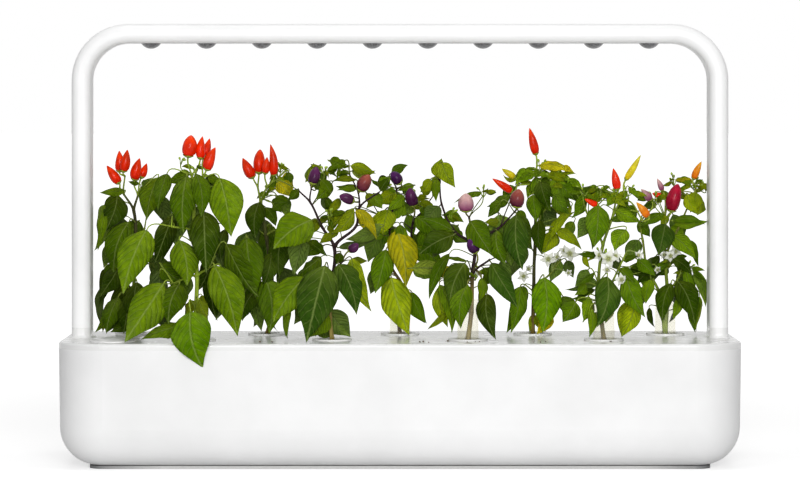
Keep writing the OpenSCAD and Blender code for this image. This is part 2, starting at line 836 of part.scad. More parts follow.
LEAVES = [
    [   // 1
        [4, -9, -4, 135, -32, -10, 133, 9, 20, 2],
        [6, -16, -6, 131, -27, -18, 98, 23, 10, 0],
        [6, -27, -8, 122, -32, -14, 78, 9, 30, 2],
        [3, -4, -14, 106, -17, -26, 57, 25, -5, 1],
        [5, 22, 2, 147, 12, -8, 107, 23, 0, 2],
        [9, 18, 14, 132, 30, 26, 98, 18, 0, 1],
        [2, -20, 4, 86, -29, 12, 66, 11, 0, 2],
        [8, -14, -16, 64, -31, -26, 38, 19, 10, 0],
        [8, -14, -20, 36, -25, -30, 4, 19, 15, 1],
        [8, -4, -22, 34, -8, -30, 3, 17, -10, 0],
        [1, -24, -6, 18, -30, -9, 3, 8, 30, 3],
        [8, 4, -24, 50, 10, -32, 8, 21, 0, 0],
        [2, 16, 10, 74, 24, 18, 40, 19, 15, 1],
        [5, 6, 10, 138, 14, 20, 146, 9, 0, 2],
        [2, -8, 16, 84, -16, 26, 52, 18, 0, 1],
        [9, 12, -20, 92, 4, -30, 60, 20, 20, 1]
    ],
    [   // 2
        [8, -44, -14, 101, -64, -34, 43, 31, 0, 2],
        [5, -26, -8, 152, -34, -14, 119, 15, 0, 1],
        [5, -8, -10, 150, -10, -24, 98, 25, 5, 1],
        [4, 1, -14, 152, 6, -22, 112, 17, 0, 1],
        [6, 22, -12, 148, 32, -24, 96, 30, -5, 2],
        [3, 8, -16, 118, 11, -32, 63, 28, 0, 0],
        [3, -14, -18, 92, -6, -34, 53, 28, 10, 2],
        [8, -22, -4, 112, -37, -10, 70, 18, -10, 0],
        [9, 18, -22, 69, 39, -34, 6, 30, 0, 2],
        [9, 22, 4, 66, 18, -2, 18, 20, 10, 0],
        [1, 4, -24, 38, 12, -34, 22, 12, 0, 3],
        [1, -2, -50, 29, 9, -61, -20, 35, 0, 3],
        [1, -10, -24, 17, -47, -38, 7, 16, 35, 2],
        [7, -28, -26, 53, -61, -50, 2, 34, 0, 2],
        [7, -14, -22, 52, -23, -36, 18, 26, 5, 1],
        [7, -34, 6, 62, -44, 16, 30, 18, 0, 0],
        [6, 10, 4, 150, 18, 12, 132, 14, 0, 1],
        [8, -12, 8, 120, -20, 20, 84, 20, 0, 1],
        [3, 12, 8, 96, 26, 18, 62, 22, 0, 0]
    ],
    [   // 3
        [4, -7, -12, 124, -10, -20, 90, 18, 0, 0],
        [6, 4, -6, 124, 20, -12, 125, 10, 20, 1],
        [6, 6, -8, 122, 13, -16, 115, 8, 0, 1],
        [9, -19, -16, 91, -10, -28, 36, 27, 0, 1],
        [9, -1, -20, 53, 3, -31, 2, 29, -10, 1],
        [7, 14, -8, 92, 12, -20, 55, 21, 0, 0],
        [7, 27, -8, 91, 24, -20, 57, 19, 10, 1],
        [8, 10, -6, 147, 24, -10, 129, 14, 0, 3],
        [8, 20, -4, 152, 18, -8, 138, 9, 0, 1],
        [3, 4, -14, 76, -4, -24, 44, 17, 0, 0],
        [2, -18, -6, 60, -26, -16, 28, 20, 10, 0],
        [3, -16, 14, 96, -24, 28, 60, 22, 0, 1],
        [2, 14, 16, 62, 22, 30, 28, 20, 0, 0],
        [6, 8, 12, 130, 18, 24, 108, 14, 0, 2],
        [1, -6, 14, 34, -14, 26, 6, 17, 0, 0],
        [9, -12, -20, 40, -22, -30, 14, 17, 20, 0]
    ],
    [   // 4
        [13, 12, 2, 164, -3, 0, 157, 9, 20, 2],
        [13, 18, 8, 154, 40, 6, 153, 13, 30, 3],
        [13, 15, 2, 153, 4, 4, 150, 5, 20, 1],
        [10, 20, -2, 147, 0, -6, 146, 6, 25, 3],
        [10, 22, -4, 138, 5, -8, 138, 7, 25, 2],
        [11, -20, 8, 143, -17, 12, 161, 13, 0, 2],
        [11, -15, 4, 137, -5, 8, 156, 11, 0, 1],
        [5, -9, 6, 131, 1, 10, 114, 10, 0, 0],
        [8, 22, -6, 119, 41, -14, 93, 11, 10, 4],
        [8, 20, -6, 120, 0, -14, 98, 13, -10, 3],
        [7, 6, 8, 84, 43, 12, 90, 9, 40, 1],
        [4, -18, -10, 110, -53, -22, 84, 31, 10, 2],
        [4, 0, -8, 97, -11, -12, 89, 8, 0, 3],
        [2, -6, -18, 69, -22, -42, 2, 37, 0, 0],
        [2, -24, -14, 58, -53, -28, 18, 27, 5, 2],
        [12, 6, -14, 70, 23, -26, 24, 23, 0, 0],
        [12, 18, -10, 75, 36, -20, 27, 17, -10, 2],
        [1, -4, 6, 27, 16, 14, 3, 24, 0, 1],
        [1, -4, -8, 25, -20, -14, 4, 18, 0, 2],
        [2, -40, -6, 32, -42, -10, 2, 8, 20, 2],
        [2, -24, 6, 36, -35, 12, 14, 15, 0, 1],
        [3, 8, -4, 80, 4, -10, 70, 9, 0, 1],
        [3, -8, 4, 86, -26, 8, 75, 12, 15, 1],
        [9, 38, -2, 134, 46, -6, 120, 12, 0, 2],
        [9, 44, -2, 136, 52, -4, 148, 10, 0, 1],
        [6, -31, -4, 138, -40, -8, 128, 9, 0, 1]
    ],
    [   // 5
        [8, -8, 5, 151, 7, 3, 159, 10, 20, 1],
        [8, -12, 2, 147, -22, 0, 140, 10, 0, 0],
        [8, -3, -6, 132, -22, -12, 120, 13, 10, 3],
        [8, 4, -4, 130, -12, -10, 116, 12, 0, 2],
        [5, -11, -10, 117, -16, -18, 94, 19, 0, 3],
        [4, -3, -14, 98, 5, -26, 45, 27, 0, 4],
        [7, 0, -10, 103, 3, -14, 79, 13, 0, 2],
        [3, -13, -12, 80, -23, -24, 40, 22, 0, 1],
        [3, -8, -18, 54, 9, -29, 2, 30, 5, 3],
        [2, 11, -6, 40, 25, -14, 11, 13, 0, 1],
        [9, 30, 4, 135, 18, 0, 138, 13, 0, 3],
        [7, 15, -8, 110, 36, -14, 90, 18, 10, 1],
        [9, 18, -2, 118, 42, -6, 107, 11, 30, 1],
        [6, 13, -10, 82, 40, -18, 58, 20, 20, 1],
        [7, 20, 8, 98, 30, 16, 62, 19, 0, 0],
        [4, -18, 12, 92, -30, 22, 66, 18, 0, 1],
        [9, 12, 8, 124, 2, 14, 110, 12, 0, 2],
        [2, -16, 8, 62, -28, 18, 36, 17, 0, 1],
        [8, 2, 8, 136, 14, 14, 128, 10, 0, 1]
    ],
    [   // 6
        [6, -27, -2, 148, -24, -6, 166, 14, 0, 3],
        [6, -24, -6, 162, -12, -12, 140, 15, 0, 3],
        [6, -28, -4, 147, -29, -8, 126, 8, 10, 2],
        [6, -32, -2, 144, -43, -6, 136, 11, 0, 3],
        [7, 2, -8, 109, 21, -18, 79, 21, 0, 1],
        [4, -14, -6, 100, -42, -10, 112, 14, 20, 1],
        [4, -14, -10, 96, -44, -20, 80, 22, 10, 0],
        [2, -3, -16, 71, -17, -28, 34, 24, 0, 0],
        [2, -1, -20, 52, -7, -32, 12, 19, 0, 1],
        [2, -26, -8, 51, -15, -16, 7, 13, 0, 2],
        [8, 17, -12, 43, 25, -22, 2, 19, 0, 0],
        [8, 12, -10, 57, 10, -16, 37, 10, 0, 2],
        [8, 21, -12, 71, 45, -26, 33, 19, 10, 0],
        [8, 14, -4, 66, 34, -10, 54, 12, 20, 1],
        [10, 44, -12, 115, 49, -26, 64, 24, 0, 0],
        [9, 36, 4, 130, 20, 0, 119, 11, 0, 0],
        [9, 26, -8, 100, 34, -18, 70, 20, 0, 1],
        [4, -20, 10, 98, -32, 18, 74, 18, 0, 0],
        [2, -14, 8, 42, -28, 14, 14, 10, 20, 2],
        [8, 30, 6, 72, 42, 14, 44, 17, 0, 1],
        [5, -26, 6, 122, -38, 12, 104, 15, 0, 1],
        [10, 46, 4, 118, 54, 8, 104, 10, 0, 1]
    ],
    [   // 7
        [5, 6, -2, 158, 36, -8, 152, 11, 30, 4],
        [4, 0, -4, 151, -14, -8, 145, 8, 10, 2],
        [4, 7, -8, 143, 14, -16, 119, 16, 0, 0],
        [4, 0, -10, 131, 3, -18, 105, 15, 0, 1],
        [7, 18, -2, 147, 40, -8, 125, 16, 10, 1],
        [7, 20, -6, 131, 34, -12, 113, 13, 0, 1],
        [3, 6, -8, 107, 8, -16, 75, 13, 0, 0],
        [3, 15, 4, 93, 41, 8, 114, 9, 30, 3],
        [3, 22, -4, 99, 46, -10, 81, 11, 20, 3],
        [3, 22, 10, 95, 11, 16, 77, 15, 0, 3],
        [1, 10, -16, 54, 8, -30, 4, 27, 0, 1],
        [1, -12, -10, 45, -21, -22, 3, 16, 0, 1],
        [1, 18, -12, 20, 4, -21, 2, 14, 0, 4],
        [8, 26, 6, 69, 17, 12, 49, 13, 0, 1],
        [8, 32, 6, 69, 39, 12, 52, 11, 0, 0],
        [2, -8, 12, 84, -20, 22, 52, 20, 0, 0],
        [6, -16, 4, 138, -28, 8, 124, 13, 0, 1],
        [7, 12, 14, 120, 24, 24, 98, 18, 0, 0],
        [1, 6, 16, 38, 16, 26, 10, 17, 0, 0],
        [8, 28, -4, 36, 36, -10, 16, 15, 0, 1],
        [5, 8, 8, 152, 22, 12, 146, 9, 0, 1]
    ],
    [   // 8
        [8, -6, -8, 123, -10, -16, 85, 21, 0, 1],
        [4, 20, -4, 101, 9, -10, 81, 17, 0, 2],
        [5, 2, 0, 131, -10, 2, 139, 7, 20, 1],
        [8, 0, 4, 135, -26, 6, 135, 11, 30, 0],
        [2, 2, -18, 59, -8, -32, 15, 25, 0, 0],
        [2, -13, -12, 30, -15, -20, 3, 9, 0, 2],
        [9, 20, -12, 59, 36, -24, 23, 19, 0, 1],
        [7, 28, -6, 35, 15, -16, 4, 16, 0, 3],
        [2, -26, -4, 35, -38, -10, 17, 19, 0, 1],
        [2, -8, 4, 46, -28, 8, 34, 7, 30, 0],
        [2, -10, 8, 50, -34, 12, 44, 7, 30, 0],
        [2, -14, 2, 40, -19, -3, 16, 10, 0, 2],
        [7, 4, -13, 37, 1, -15, 16, 9, 0, 2],
        [10, 10, 2, 117, 36, -2, 107, 9, 30, 1],
        [3, -6, 6, 53, -26, 8, 45, 11, 20, 1],
        [8, -14, 6, 112, -24, 12, 92, 15, 0, 1],
        [9, 30, -6, 74, 46, -14, 60, 12, 10, 1],
        [6, 20, 4, 122, 30, 8, 108, 13, 0, 1],
        [5, 10, -6, 132, 2, -12, 122, 9, 0, 2],
        [9, 14, -10, 66, 28, -16, 52, 14, 0, 1],
        [3, 6, 10, 76, 16, 16, 62, 12, 0, 0],
        [2, -14, 8, 64, -26, 14, 48, 13, 0, 1]
    ],
    [   // 9
        [4, 6, -16, 107, 35, -24, 105, 9, 35, 1],
        [5, 19, -14, 131, 28, -20, 113, 12, 0, 3],
        [5, 28, -8, 133, 22, -12, 114, 14, 0, 3],
        [5, 24, -3, 142, 9, 0, 144, 8, 20, 2],
        [3, -1, -14, 104, -8, -24, 75, 21, 0, 1],
        [4, 6, -10, 93, 27, -18, 71, 15, 10, 2],
        [10, 4, -18, 49, -4, -28, 13, 17, 0, 0],
        [10, 10, -16, 51, 24, -28, 13, 21, -10, 0],
        [10, 28, -6, 35, 26, -14, 3, 12, 20, 1],
        [10, 18, -10, 65, 34, -20, 28, 9, 10, 1],
        [2, 6, -10, 71, 24, -16, 57, 11, 20, 0],
        [7, -22, -4, 67, -16, -10, 37, 13, 0, 1],
        [3, -2, -8, 113, -26, -14, 101, 10, 20, 1],
        [9, -16, 4, 131, -26, 4, 125, 9, 0, 0],
        [9, -8, 6, 123, -20, 8, 117, 9, 0, 1],
        [2, -8, 14, 72, -20, 22, 44, 18, 0, 0],
        [10, 14, 10, 60, 26, 20, 30, 18, 0, 1],
        [3, 8, 10, 112, 20, 18, 88, 16, 0, 1],
        [6, -20, 6, 44, -30, 14, 18, 15, 0, 0],
        [8, -24, 8, 88, -36, 14, 66, 15, 0, 1],
        [2, 12, -14, 34, 6, -20, 16, 9, 0, 2]
    ]
];

PEPPERS = [
    [   // 1
        [6, -15, 0, 142, -26, -2, 158, 9.5, 0, 0],
        [7, -14, -4, 153, -14, -6, 172, 9, 0, 0],
        [7, -10, -8, 153, -6, -10, 173, 10, 0, 0],
        [5, 0, -2, 145, 5, -4, 165, 10.5, 0, 0],
        [5, 6, 2, 147, 11, 4, 160, 7.5, 0, 0]
    ],
    [   // 2
        [5, -7, -4, 168, -4, -6, 187, 13.5, 1, 0],
        [5, 4, -2, 166, 6, -2, 186, 9, 0, 0],
        [6, 7, 6, 168, 12, 8, 184, 8, 0, 0],
        [6, 10, -6, 156, 18, -8, 176, 10.5, 0, 0]
    ],
    [   // 3
        [5, -14, 0, 147, -23, -2, 165, 10.5, 0, 0],
        [5, -8, 4, 151, -7, 6, 173, 11, 1, 0],
        [6, -2, -4, 151, 0, -6, 166, 8, 0, 0],
        [6, 6, -2, 149, 3, -4, 178, 8.5, 0, 0]
    ],
    [   // 4
        [11, -18, -4, 143, -14, -4, 158, 10.5, 1, 2],
        [10, 19, -6, 127, 7, -10, 132, 9.5, 1, 2],
        [10, 26, -2, 137, 34, -6, 151, 12.5, 1, 3],
        [12, 16, -4, 82, 24, -8, 88, 8.5, 1, 2]
    ],
    [   // 5
        [8, 0, -9, 142, -8, -11, 152, 10.5, 1, 1],
        [7, 13, -6, 121, 9, -10, 137, 11.5, 1, 2]
    ],
    [   // 6
        [7, -2, -4, 118, -2, -6, 134, 14.5, 1, 4],
        [2, 7, -8, 81, 1, -12, 93, 11, 1, 1],
        [10, 44, -8, 122, 46, -10, 138, 13.5, 1, 3]
    ],
    [   // 7
        [5, 3, 0, 169, -3, -2, 193, 8.5, 0, 0],
        [6, -20, -6, 134, -38, -10, 146, 7.5, 0, 0],
        [6, -17, -2, 147, -29, -4, 155, 6.5, 0, 6]
    ],
    [   // 8
        [5, 12, -6, 138, 8, -8, 157, 8, 0, 0],
        [6, 20, -4, 147, 33, -8, 169, 6.5, 0, 6],
        [8, -6, -4, 123, -18, -8, 129, 6, 0, 0],
        [10, 40, -4, 113, 29, -8, 126, 7.5, 0, 5]
    ],
    [   // 9
        [3, 5, -8, 116, 11, -10, 141, 13.5, 1, 7],
        [9, -14, -2, 126, -23, -6, 136, 7.5, 0, 4],
        [3, -3, -4, 135, -8, -6, 146, 5.5, 0, 4],
        [3, -3, 4, 129, -12, 4, 132, 6, 0, 0],
        [5, 26, -6, 146, 33, -10, 162, 7, 0, 5]
    ]
];

// Along a blade: how far along, and the half width there
BLADE = [[0.2, 0.84], [0.5, 0.95], [0.8, 0.52]];
// Along a pepper: how far along, and the radius there
POINTED = [[0, 0.5], [0.08, 0.82], [0.25, 1], [0.45, 0.92], [0.7, 0.62], [0.9, 0.3], [1, 0.08]];
PLUMP = [[0, 0.4], [0.08, 0.72], [0.28, 1], [0.55, 0.97], [0.8, 0.7], [0.95, 0.35], [1, 0.12]];
PEPPER_COLOURS = [
    "red", "indigo", "purple", "firebrick", "thistle", "orange", "khaki", "crimson"
];
blade_thickness = 1.3;
blade_arch = 0.1;
blade_fold = 0.15;
stalk_radius = 0.8;
stalk_foot = 0.5;
knuckle = 1.4;
twig_inset = 0.2;
bend_outward = 0.4;
root_height = 1;
root_z = soil_top - lid_top;

function unit(v) = v / norm(v);

// Where a branch ends; branch 0 is the root
function branch_end(n, k) =
    k == 0 ? [0, 0, root_z + root_height] : [for (i = [1:3]) BRANCHES[n - 1][k - 1][i]];

function branch_radius(n, k) = k == 0 ? BRANCHES[n - 1][0][4] + 0.3 : BRANCHES[n - 1][k - 1][4];

function point_at(row, first) = [row[first], row[first + 1], row[first + 2]];

// Directions of a blade: along it, across it and out of its face
function blade_frame(start, tip, turn) =
    let (
        along = unit(tip - start),
        level = unit(cross(along, [0, -1, 0])),
        face = cross(level, along),
        lean = along.x < 0 ? -turn : turn,
        across = cos(lean) * level + sin(lean) * face
    )
    [along, across, cross(across, along)];

// Point on a blade's arched midrib, at a share of the way from start to tip
function blade_middle(start, tip, face, share) =
    start + share * (tip - start) + 4 * blade_arch * share * (1 - share) * norm(tip - start) * face;

// Four points round a middle, a width apart along one line and a thickness along another
function ring(middle, half, along, thick, other, drop) = [
    middle + half * along - drop * other,
    middle + thick * other,
    middle - half * along - drop * other,
    middle - thick * other
];

// The part of a direction that stands square to a line
function square_to(line, v) = unit(v - (v * line) * line);

// Ring of a stalk that runs along a line
function stalk_ring(middle, line, side, radius) =
    ring(middle, radius, side, radius, cross(side, line), 0);

// Stalk and thin pointed blade in one, arched along its midrib and folded a little along it
module leaf(stem, row) {
    start = point_at(row, 1);
    tip = point_at(row, 4);
    dirs = blade_frame(start, tip, row[8]);
    out = unit(start - stem);
    bend = unit(out + dirs[0] + bend_outward * dirs[2]);
    side = square_to(bend, dirs[1]);
    rings = concat(
        [
            stalk_ring(stem, out, square_to(out, side), stalk_foot),
            stalk_ring(start, bend, side, stalk_radius)
        ],
        [
            for (s = BLADE)
                let (half = s[1] * row[7] / 2)
                ring(
                    blade_middle(start, tip, dirs[2], s[0]),
                    half, dirs[1], blade_thickness / 2, dirs[2], blade_fold * half
                )
        ]
    );
    last = 4 * (len(rings) - 1);
    faces = concat(
        [[2, 1, 0], [3, 2, 0]],
        [
            for (k = [0:4:last - 4])
                for (i = [0:3])
                    let (a = k + i, b = k + (i + 1) % 4)
                    each [[a, b, a + 4], [b, b + 4, a + 4]]
        ],
        [for (i = [0:3]) [last + 4, last + i, last + (i + 1) % 4]]
    );
    polyhedron(concat([for (r = rings) each r], [tip]), faces);
}

module twig(start, start_radius, end, end_radius) {
    hull() {
        translate(start)
            sphere(start_radius, $fn = 4);
        translate(end)
            sphere(knuckle * end_radius, $fn = 4);
    }
}

module plant(n) {
    color("forestgreen")
        translate([pod_x(n), pod_y(n), lid_top]) {
            translate([0, 0, root_z])
                cylinder(r = branch_radius(n, 0), h = root_height, $fn = 8);
            for (k = [1:len(BRANCHES[n - 1])])
                let (from = BRANCHES[n - 1][k - 1][0])
                twig(
                    branch_end(n, from) + (from == 0 ? [0, 0, branch_radius(n, 0) / 2] : [0, 0, 0]),
                    from == 0 ? branch_radius(n, 0) - twig_inset : branch_radius(n, from),
                    branch_end(n, k),
                    branch_radius(n, k)
                );
            for (row = LEAVES[n - 1])
                leaf(branch_end(n, row[0]), row);
            for (row = PEPPERS[n - 1])
                let (base = point_at(row, 1), out = unit(point_at(row, 4) - base))
                twig(
                    branch_end(n, row[0]),
                    stalk_radius,
                    base - (stalk_radius + twig_inset) * out,
                    stalk_radius
                );
        }
}

// One pepper along its own line, made by turning its half outline
module pepper(row) {
    base = point_at(row, 1);
    reach = point_at(row, 4) - base;
    length = norm(reach);
    outline = row[8] == 0 ? POINTED : PLUMP;
    radius = row[7] / 2;
    color(PEPPER_COLOURS[row[9]])
        translate(base)
            rotate([0, acos(reach.z / length), atan2(reach.y, reach.x)])
                rotate_extrude($fn = 24)
                    polygon(concat(
                        [[0, 0]],
                        [for (p = outline) [p[1] * radius, p[0] * length]],
                        [[0, length]]
                    ));
}

module peppers(n) {
    translate([pod_x(n), pod_y(n), lid_top])
        for (row = PEPPERS[n - 1])
            pepper(row);
}

water_tank();
foot_plate();
tank_lid();
collar_left();
collar_right();
float_cap();
float_body();
float_guide();
lamp_shell();
lamp_cover();
lens_domes();
led_board();
led_chips();
heat_sink();
board_screws();
lamp_cable();
timer_board();
power_inlet();
arm_plug_left();
arm_plug_right();
for (n = [1:9]) {
    pod_cup(n);
    soil_plug(n);
    plant(n);
    peppers(n);
}
for (n = [5, 6, 8, 9])
    stem_sleeve(n);
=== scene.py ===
"""Countertop hydroponic garden: looks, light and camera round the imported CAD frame."""
import math
import random

import bpy
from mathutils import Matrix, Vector


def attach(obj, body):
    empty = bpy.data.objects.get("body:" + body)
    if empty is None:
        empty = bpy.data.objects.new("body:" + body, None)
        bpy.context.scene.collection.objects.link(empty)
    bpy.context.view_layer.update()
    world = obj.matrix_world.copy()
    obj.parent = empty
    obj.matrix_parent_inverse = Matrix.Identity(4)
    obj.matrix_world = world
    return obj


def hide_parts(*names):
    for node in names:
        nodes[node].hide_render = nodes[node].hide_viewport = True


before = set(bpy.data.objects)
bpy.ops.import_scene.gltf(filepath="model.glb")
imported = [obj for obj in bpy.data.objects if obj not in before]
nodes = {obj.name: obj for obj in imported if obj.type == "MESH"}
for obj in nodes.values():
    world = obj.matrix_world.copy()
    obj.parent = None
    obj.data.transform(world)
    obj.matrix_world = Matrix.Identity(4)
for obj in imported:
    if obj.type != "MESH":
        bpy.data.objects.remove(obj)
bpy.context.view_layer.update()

MM = 0.001
LID_TOP = 115 * MM
SOIL_OVER_LID = 0.4
PODS = range(1, 10)
POD_STEP = 62
BACK_ROW, FRONT_ROW = 38, -40
SLEEVED = (5, 6, 8, 9)


def pod_place(n):
    """Middle of pod n at the lid's top."""
    return Vector(((n - 5) * POD_STEP * MM, (BACK_ROW if n % 2 else FRONT_ROW) * MM, LID_TOP))


# ---------------------------------------------------------------- camera
CAMERA_BACK = 3.1625
CAMERA_HEIGHT = 0.327
camera_data = bpy.data.cameras.new("camera")
camera_data.sensor_fit = "HORIZONTAL"
camera_data.sensor_width = 36
camera_data.lens = 154.04
camera_data.shift_y = -0.17975
camera_data.clip_end = 100
camera = bpy.data.objects.new("camera", camera_data)
camera.location = (0, -CAMERA_BACK, CAMERA_HEIGHT)
camera.rotation_euler = (math.pi / 2, 0, 0)
bpy.context.scene.collection.objects.link(camera)
bpy.context.scene.camera = camera
bpy.context.scene.view_settings.view_transform = "Standard"


# ---------------------------------------------------------------- node helpers
class Nodes:
    """Builds one node tree in few words."""

    def __init__(self, tree):
        self.tree = tree
        tree.nodes.clear()

    def add(self, kind, inputs=None, **settings):
        node = self.tree.nodes.new(kind)
        for key, value in settings.items():
            setattr(node, key, value)
        for key, value in (inputs or {}).items():
            socket = node.inputs[key]
            if isinstance(value, bpy.types.NodeSocket):
                self.tree.links.new(value, socket)
            elif isinstance(value, bpy.types.Node):
                self.tree.links.new(value.outputs[0], socket)
            else:
                socket.default_value = value
        return node

    def math(self, operation, *values, clamp=False):
        node = self.add("ShaderNodeMath", dict(enumerate(values)), operation=operation)
        node.use_clamp = clamp
        return node.outputs[0]

    def mix(self, factor, a, b, blend="MIX"):
        node = self.add("ShaderNodeMix", data_type="RGBA", blend_type=blend)
        for key, value in ((0, factor), (6, a), (7, b)):
            if isinstance(value, bpy.types.NodeSocket):
                self.tree.links.new(value, node.inputs[key])
            elif isinstance(value, tuple) and len(value) == 3:
                node.inputs[key].default_value = (*value, 1)
            else:
                node.inputs[key].default_value = value
        return node.outputs[2]

    def tinted(self, colour, factors):
        return self.mix(1.0, colour, factors, "MULTIPLY")

    def noise(self, scale, detail=2, where=None, output="Fac"):
        place = where or self.object_place()
        node = self.add("ShaderNodeTexNoise", {"Vector": place, "Scale": scale, "Detail": detail})
        return node.outputs[output]

    def ramp(self, value, *stops):
        """Colour ramp; each stop is (place, (r, g, b)) or (place, grey)."""
        node = self.add("ShaderNodeValToRGB", {"Fac": value})
        while len(node.color_ramp.elements) < len(stops):
            node.color_ramp.elements.new(0.5)
        for element, (place, colour) in zip(node.color_ramp.elements, stops):
            element.position = place
            rgb = colour if isinstance(colour, tuple) else (colour,) * 3
            element.color = (*rgb, 1)
        return node.outputs["Color"]

    def bump(self, height, strength, distance):
        return self.add(
            "ShaderNodeBump", {"Height": height, "Strength": strength, "Distance": distance}
        ).outputs["Normal"]

    def object_place(self):
        return self.add("ShaderNodeTexCoord").outputs["Object"]

    def own_tint(self):
        return self.add("ShaderNodeVertexColor", layer_name="tint").outputs["Color"]

    def blade_place(self):
        return self.add("ShaderNodeUVMap", uv_map="place").outputs["UV"]

    def stretch(self, place, factors):
        return self.add("ShaderNodeVectorMath", {0: place, 1: factors}, operation="MULTIPLY").outputs[0]

    def output(self, shader):
        self.add("ShaderNodeOutputMaterial", {"Surface": shader})

    def principled(self, inputs):
        return self.add("ShaderNodeBsdfPrincipled", inputs)

    def surface(self, inputs):
        """The whole material is one principled surface."""
        self.output(self.principled(inputs))


def srgb(r, g, b):
    """Linear colour from the 0 to 255 values that a picture shows."""

    def linear(v):
        v /= 255
        return v / 12.92 if v <= 0.04045 else ((v + 0.055) / 1.055) ** 2.4

    return tuple(round(linear(v), 4) for v in (r, g, b))


def new_material(name):
    material = bpy.data.materials.new(name)
    material.use_nodes = True
    return material, Nodes(material.node_tree)


def plastic(name, colour, roughness, grain=900, depth=0.02, specular=0.5, metallic=0, coat=0):
    """Moulded plastic or metal: slight clouding of the colour, uneven gloss, fine surface grain."""
    material, t = new_material(name)
    dark = tuple(0.94 * c for c in colour)
    cloud = t.noise(14, 3)
    shade = t.mix(t.ramp(cloud, (0.35, 0.0), (0.65, 1.0)), dark, colour)
    gloss = t.math("MULTIPLY_ADD", t.noise(60, 2), 0.12, roughness - 0.06, clamp=True)
    inputs = {
        "Base Color": shade,
        "Roughness": gloss,
        "Metallic": metallic,
        "Specular IOR Level": specular,
        "Coat Weight": coat,
        "Coat Roughness": 0.08,
        "Normal": t.bump(t.noise(grain, 2), depth, 0.0004),
    }
    t.surface(inputs)
    return material


def dress(material, *names):
    """Gives a carried-over CAD node its material."""
    for name in names:
        mesh = nodes[name].data
        mesh.materials.clear()
        mesh.materials.append(material)


# ---------------------------------------------------------------- moulded parts
FOOT_HALF_LENGTH = 0.3


def foot_material():
    """Grey foot plate, with painted shade that darkens it towards its two ends."""
    material, t = new_material("foot_grey")
    along = t.math("ABSOLUTE", t.add("ShaderNodeSeparateXYZ", {0: t.object_place()}).outputs[0])
    share = t.math("MULTIPLY", along, 1 / FOOT_HALF_LENGTH)
    # painted shade: the end and tip greys darken the plate's ends, which lie in the gap under the tank's
    # rounded ends
    middle, end, tip = srgb(206, 206, 204), srgb(150, 150, 150), srgb(80, 80, 82)
    shade = t.ramp(share, (0.72, middle), (0.88, end), (0.95, tip))
    shade = t.mix(t.math("MULTIPLY", t.noise(500, 2), 0.2), shade, srgb(90, 90, 92))
    inputs = {"Base Color": shade, "Roughness": 0.6, "Normal": t.bump(t.noise(500, 2), 0.1, 0.0004)}
    t.surface(inputs)
    return material


def lens_material():
    """Smoked lens with fine light speckles, painted glints of its beaded surface."""
    material, t = new_material("lens_dark")
    # painted glints: pale dots in the colour stand in for light caught by the lens's fine beads
    painted_glints = t.ramp(t.noise(1500, 1), (0.42, 0.0), (0.62, 1.0))
    ring = t.noise(260, 2)
    shade = t.mix(ring, srgb(66, 66, 70), srgb(104, 104, 108))
    shade = t.mix(painted_glints, shade, srgb(150, 150, 152))
    inputs = {
        "Base Color": shade,
        "Roughness": t.math("MULTIPLY_ADD", t.noise(300), 0.2, 0.2),
        "Coat Weight": 0.3,
        "Normal": t.bump(t.noise(1500, 1), 0.15, 0.0005),
    }
    t.surface(inputs)
    return material


def soil_material():
    """Dark fibrous growing soil with paler grains."""
    material, t = new_material("soil")
    grains = t.noise(900, 6)
    shade = t.ramp(grains, (0.3, srgb(26, 18, 12)), (0.5, srgb(58, 42, 28)), (0.72, srgb(128, 104, 76)))
    inputs = {"Base Color": shade, "Roughness": 0.95, "Normal": t.bump(grains, 0.9, 0.0012)}
    t.surface(inputs)
    return material


def sleeve_material():
    """Milky thin plastic that lets light through."""
    material, t = new_material("sleeve_clear")
    streaks = t.noise(120, 3)
    inputs = {
        "Base Color": t.mix(streaks, srgb(250, 250, 238), srgb(255, 255, 248)),
        "Roughness": t.math("MULTIPLY_ADD", streaks, 0.2, 0.3),
        "Specular IOR Level": 0.3,
        "Normal": t.bump(streaks, 0.1, 0.0006),
    }
    wall = t.principled(inputs)
    tint = t.mix(streaks, (0.95, 0.945, 0.91), (0.985, 0.98, 0.955))
    clear = t.add("ShaderNodeBsdfTransparent", {"Color": tint})
    t.output(t.add("ShaderNodeMixShader", {0: 0.06, 1: clear, 2: wall}))
    return material


dress(
    plastic("tank_white", srgb(246, 246, 246), 0.42, grain=1400, depth=0.03, specular=0.3),
    "water_tank",
)
dress(
    plastic("lid_white", srgb(236, 236, 235), 0.26, grain=500, depth=0.01, coat=0.14),
    "tank_lid", "collar_left", "collar_right", "float_cap", "float_guide",
)
dress(
    plastic("lamp_white", srgb(250, 250, 250), 0.36, grain=1400, depth=0.03, specular=0.35),
    "lamp_shell",
)
dress(plastic("cup_white", srgb(240, 240, 238), 0.4), *(f"pod_cup_{n}" for n in PODS))
dress(plastic("plug_grey", srgb(186, 186, 188), 0.55), "arm_plug_left", "arm_plug_right")
dress(plastic("cover_grey", srgb(244, 244, 245), 0.45), "lamp_cover")
dress(plastic("board_white", srgb(236, 236, 228), 0.4), "led_board")
dress(plastic("board_green", srgb(26, 92, 48), 0.35), "timer_board")
dress(plastic("led_yellow", srgb(240, 208, 70), 0.3), "led_chips")
dress(plastic("aluminium", srgb(196, 198, 200), 0.35, grain=300, depth=0.05, metallic=1), "heat_sink")
dress(plastic("screw_steel", srgb(170, 172, 176), 0.3, metallic=1), "board_screws")
dress(plastic("cable_black", srgb(28, 28, 30), 0.5), "lamp_cable")
dress(plastic("inlet_black", srgb(22, 22, 24), 0.45), "power_inlet")
dress(plastic("float_grey", srgb(210, 210, 212), 0.6, grain=260, depth=0.2), "float_body")
dress(foot_material(), "foot_plate")
dress(lens_material(), "lens_domes")
dress(soil_material(), *(f"soil_plug_{n}" for n in PODS))
dress(sleeve_material(), *(f"stem_sleeve_{n}" for n in SLEEVED))


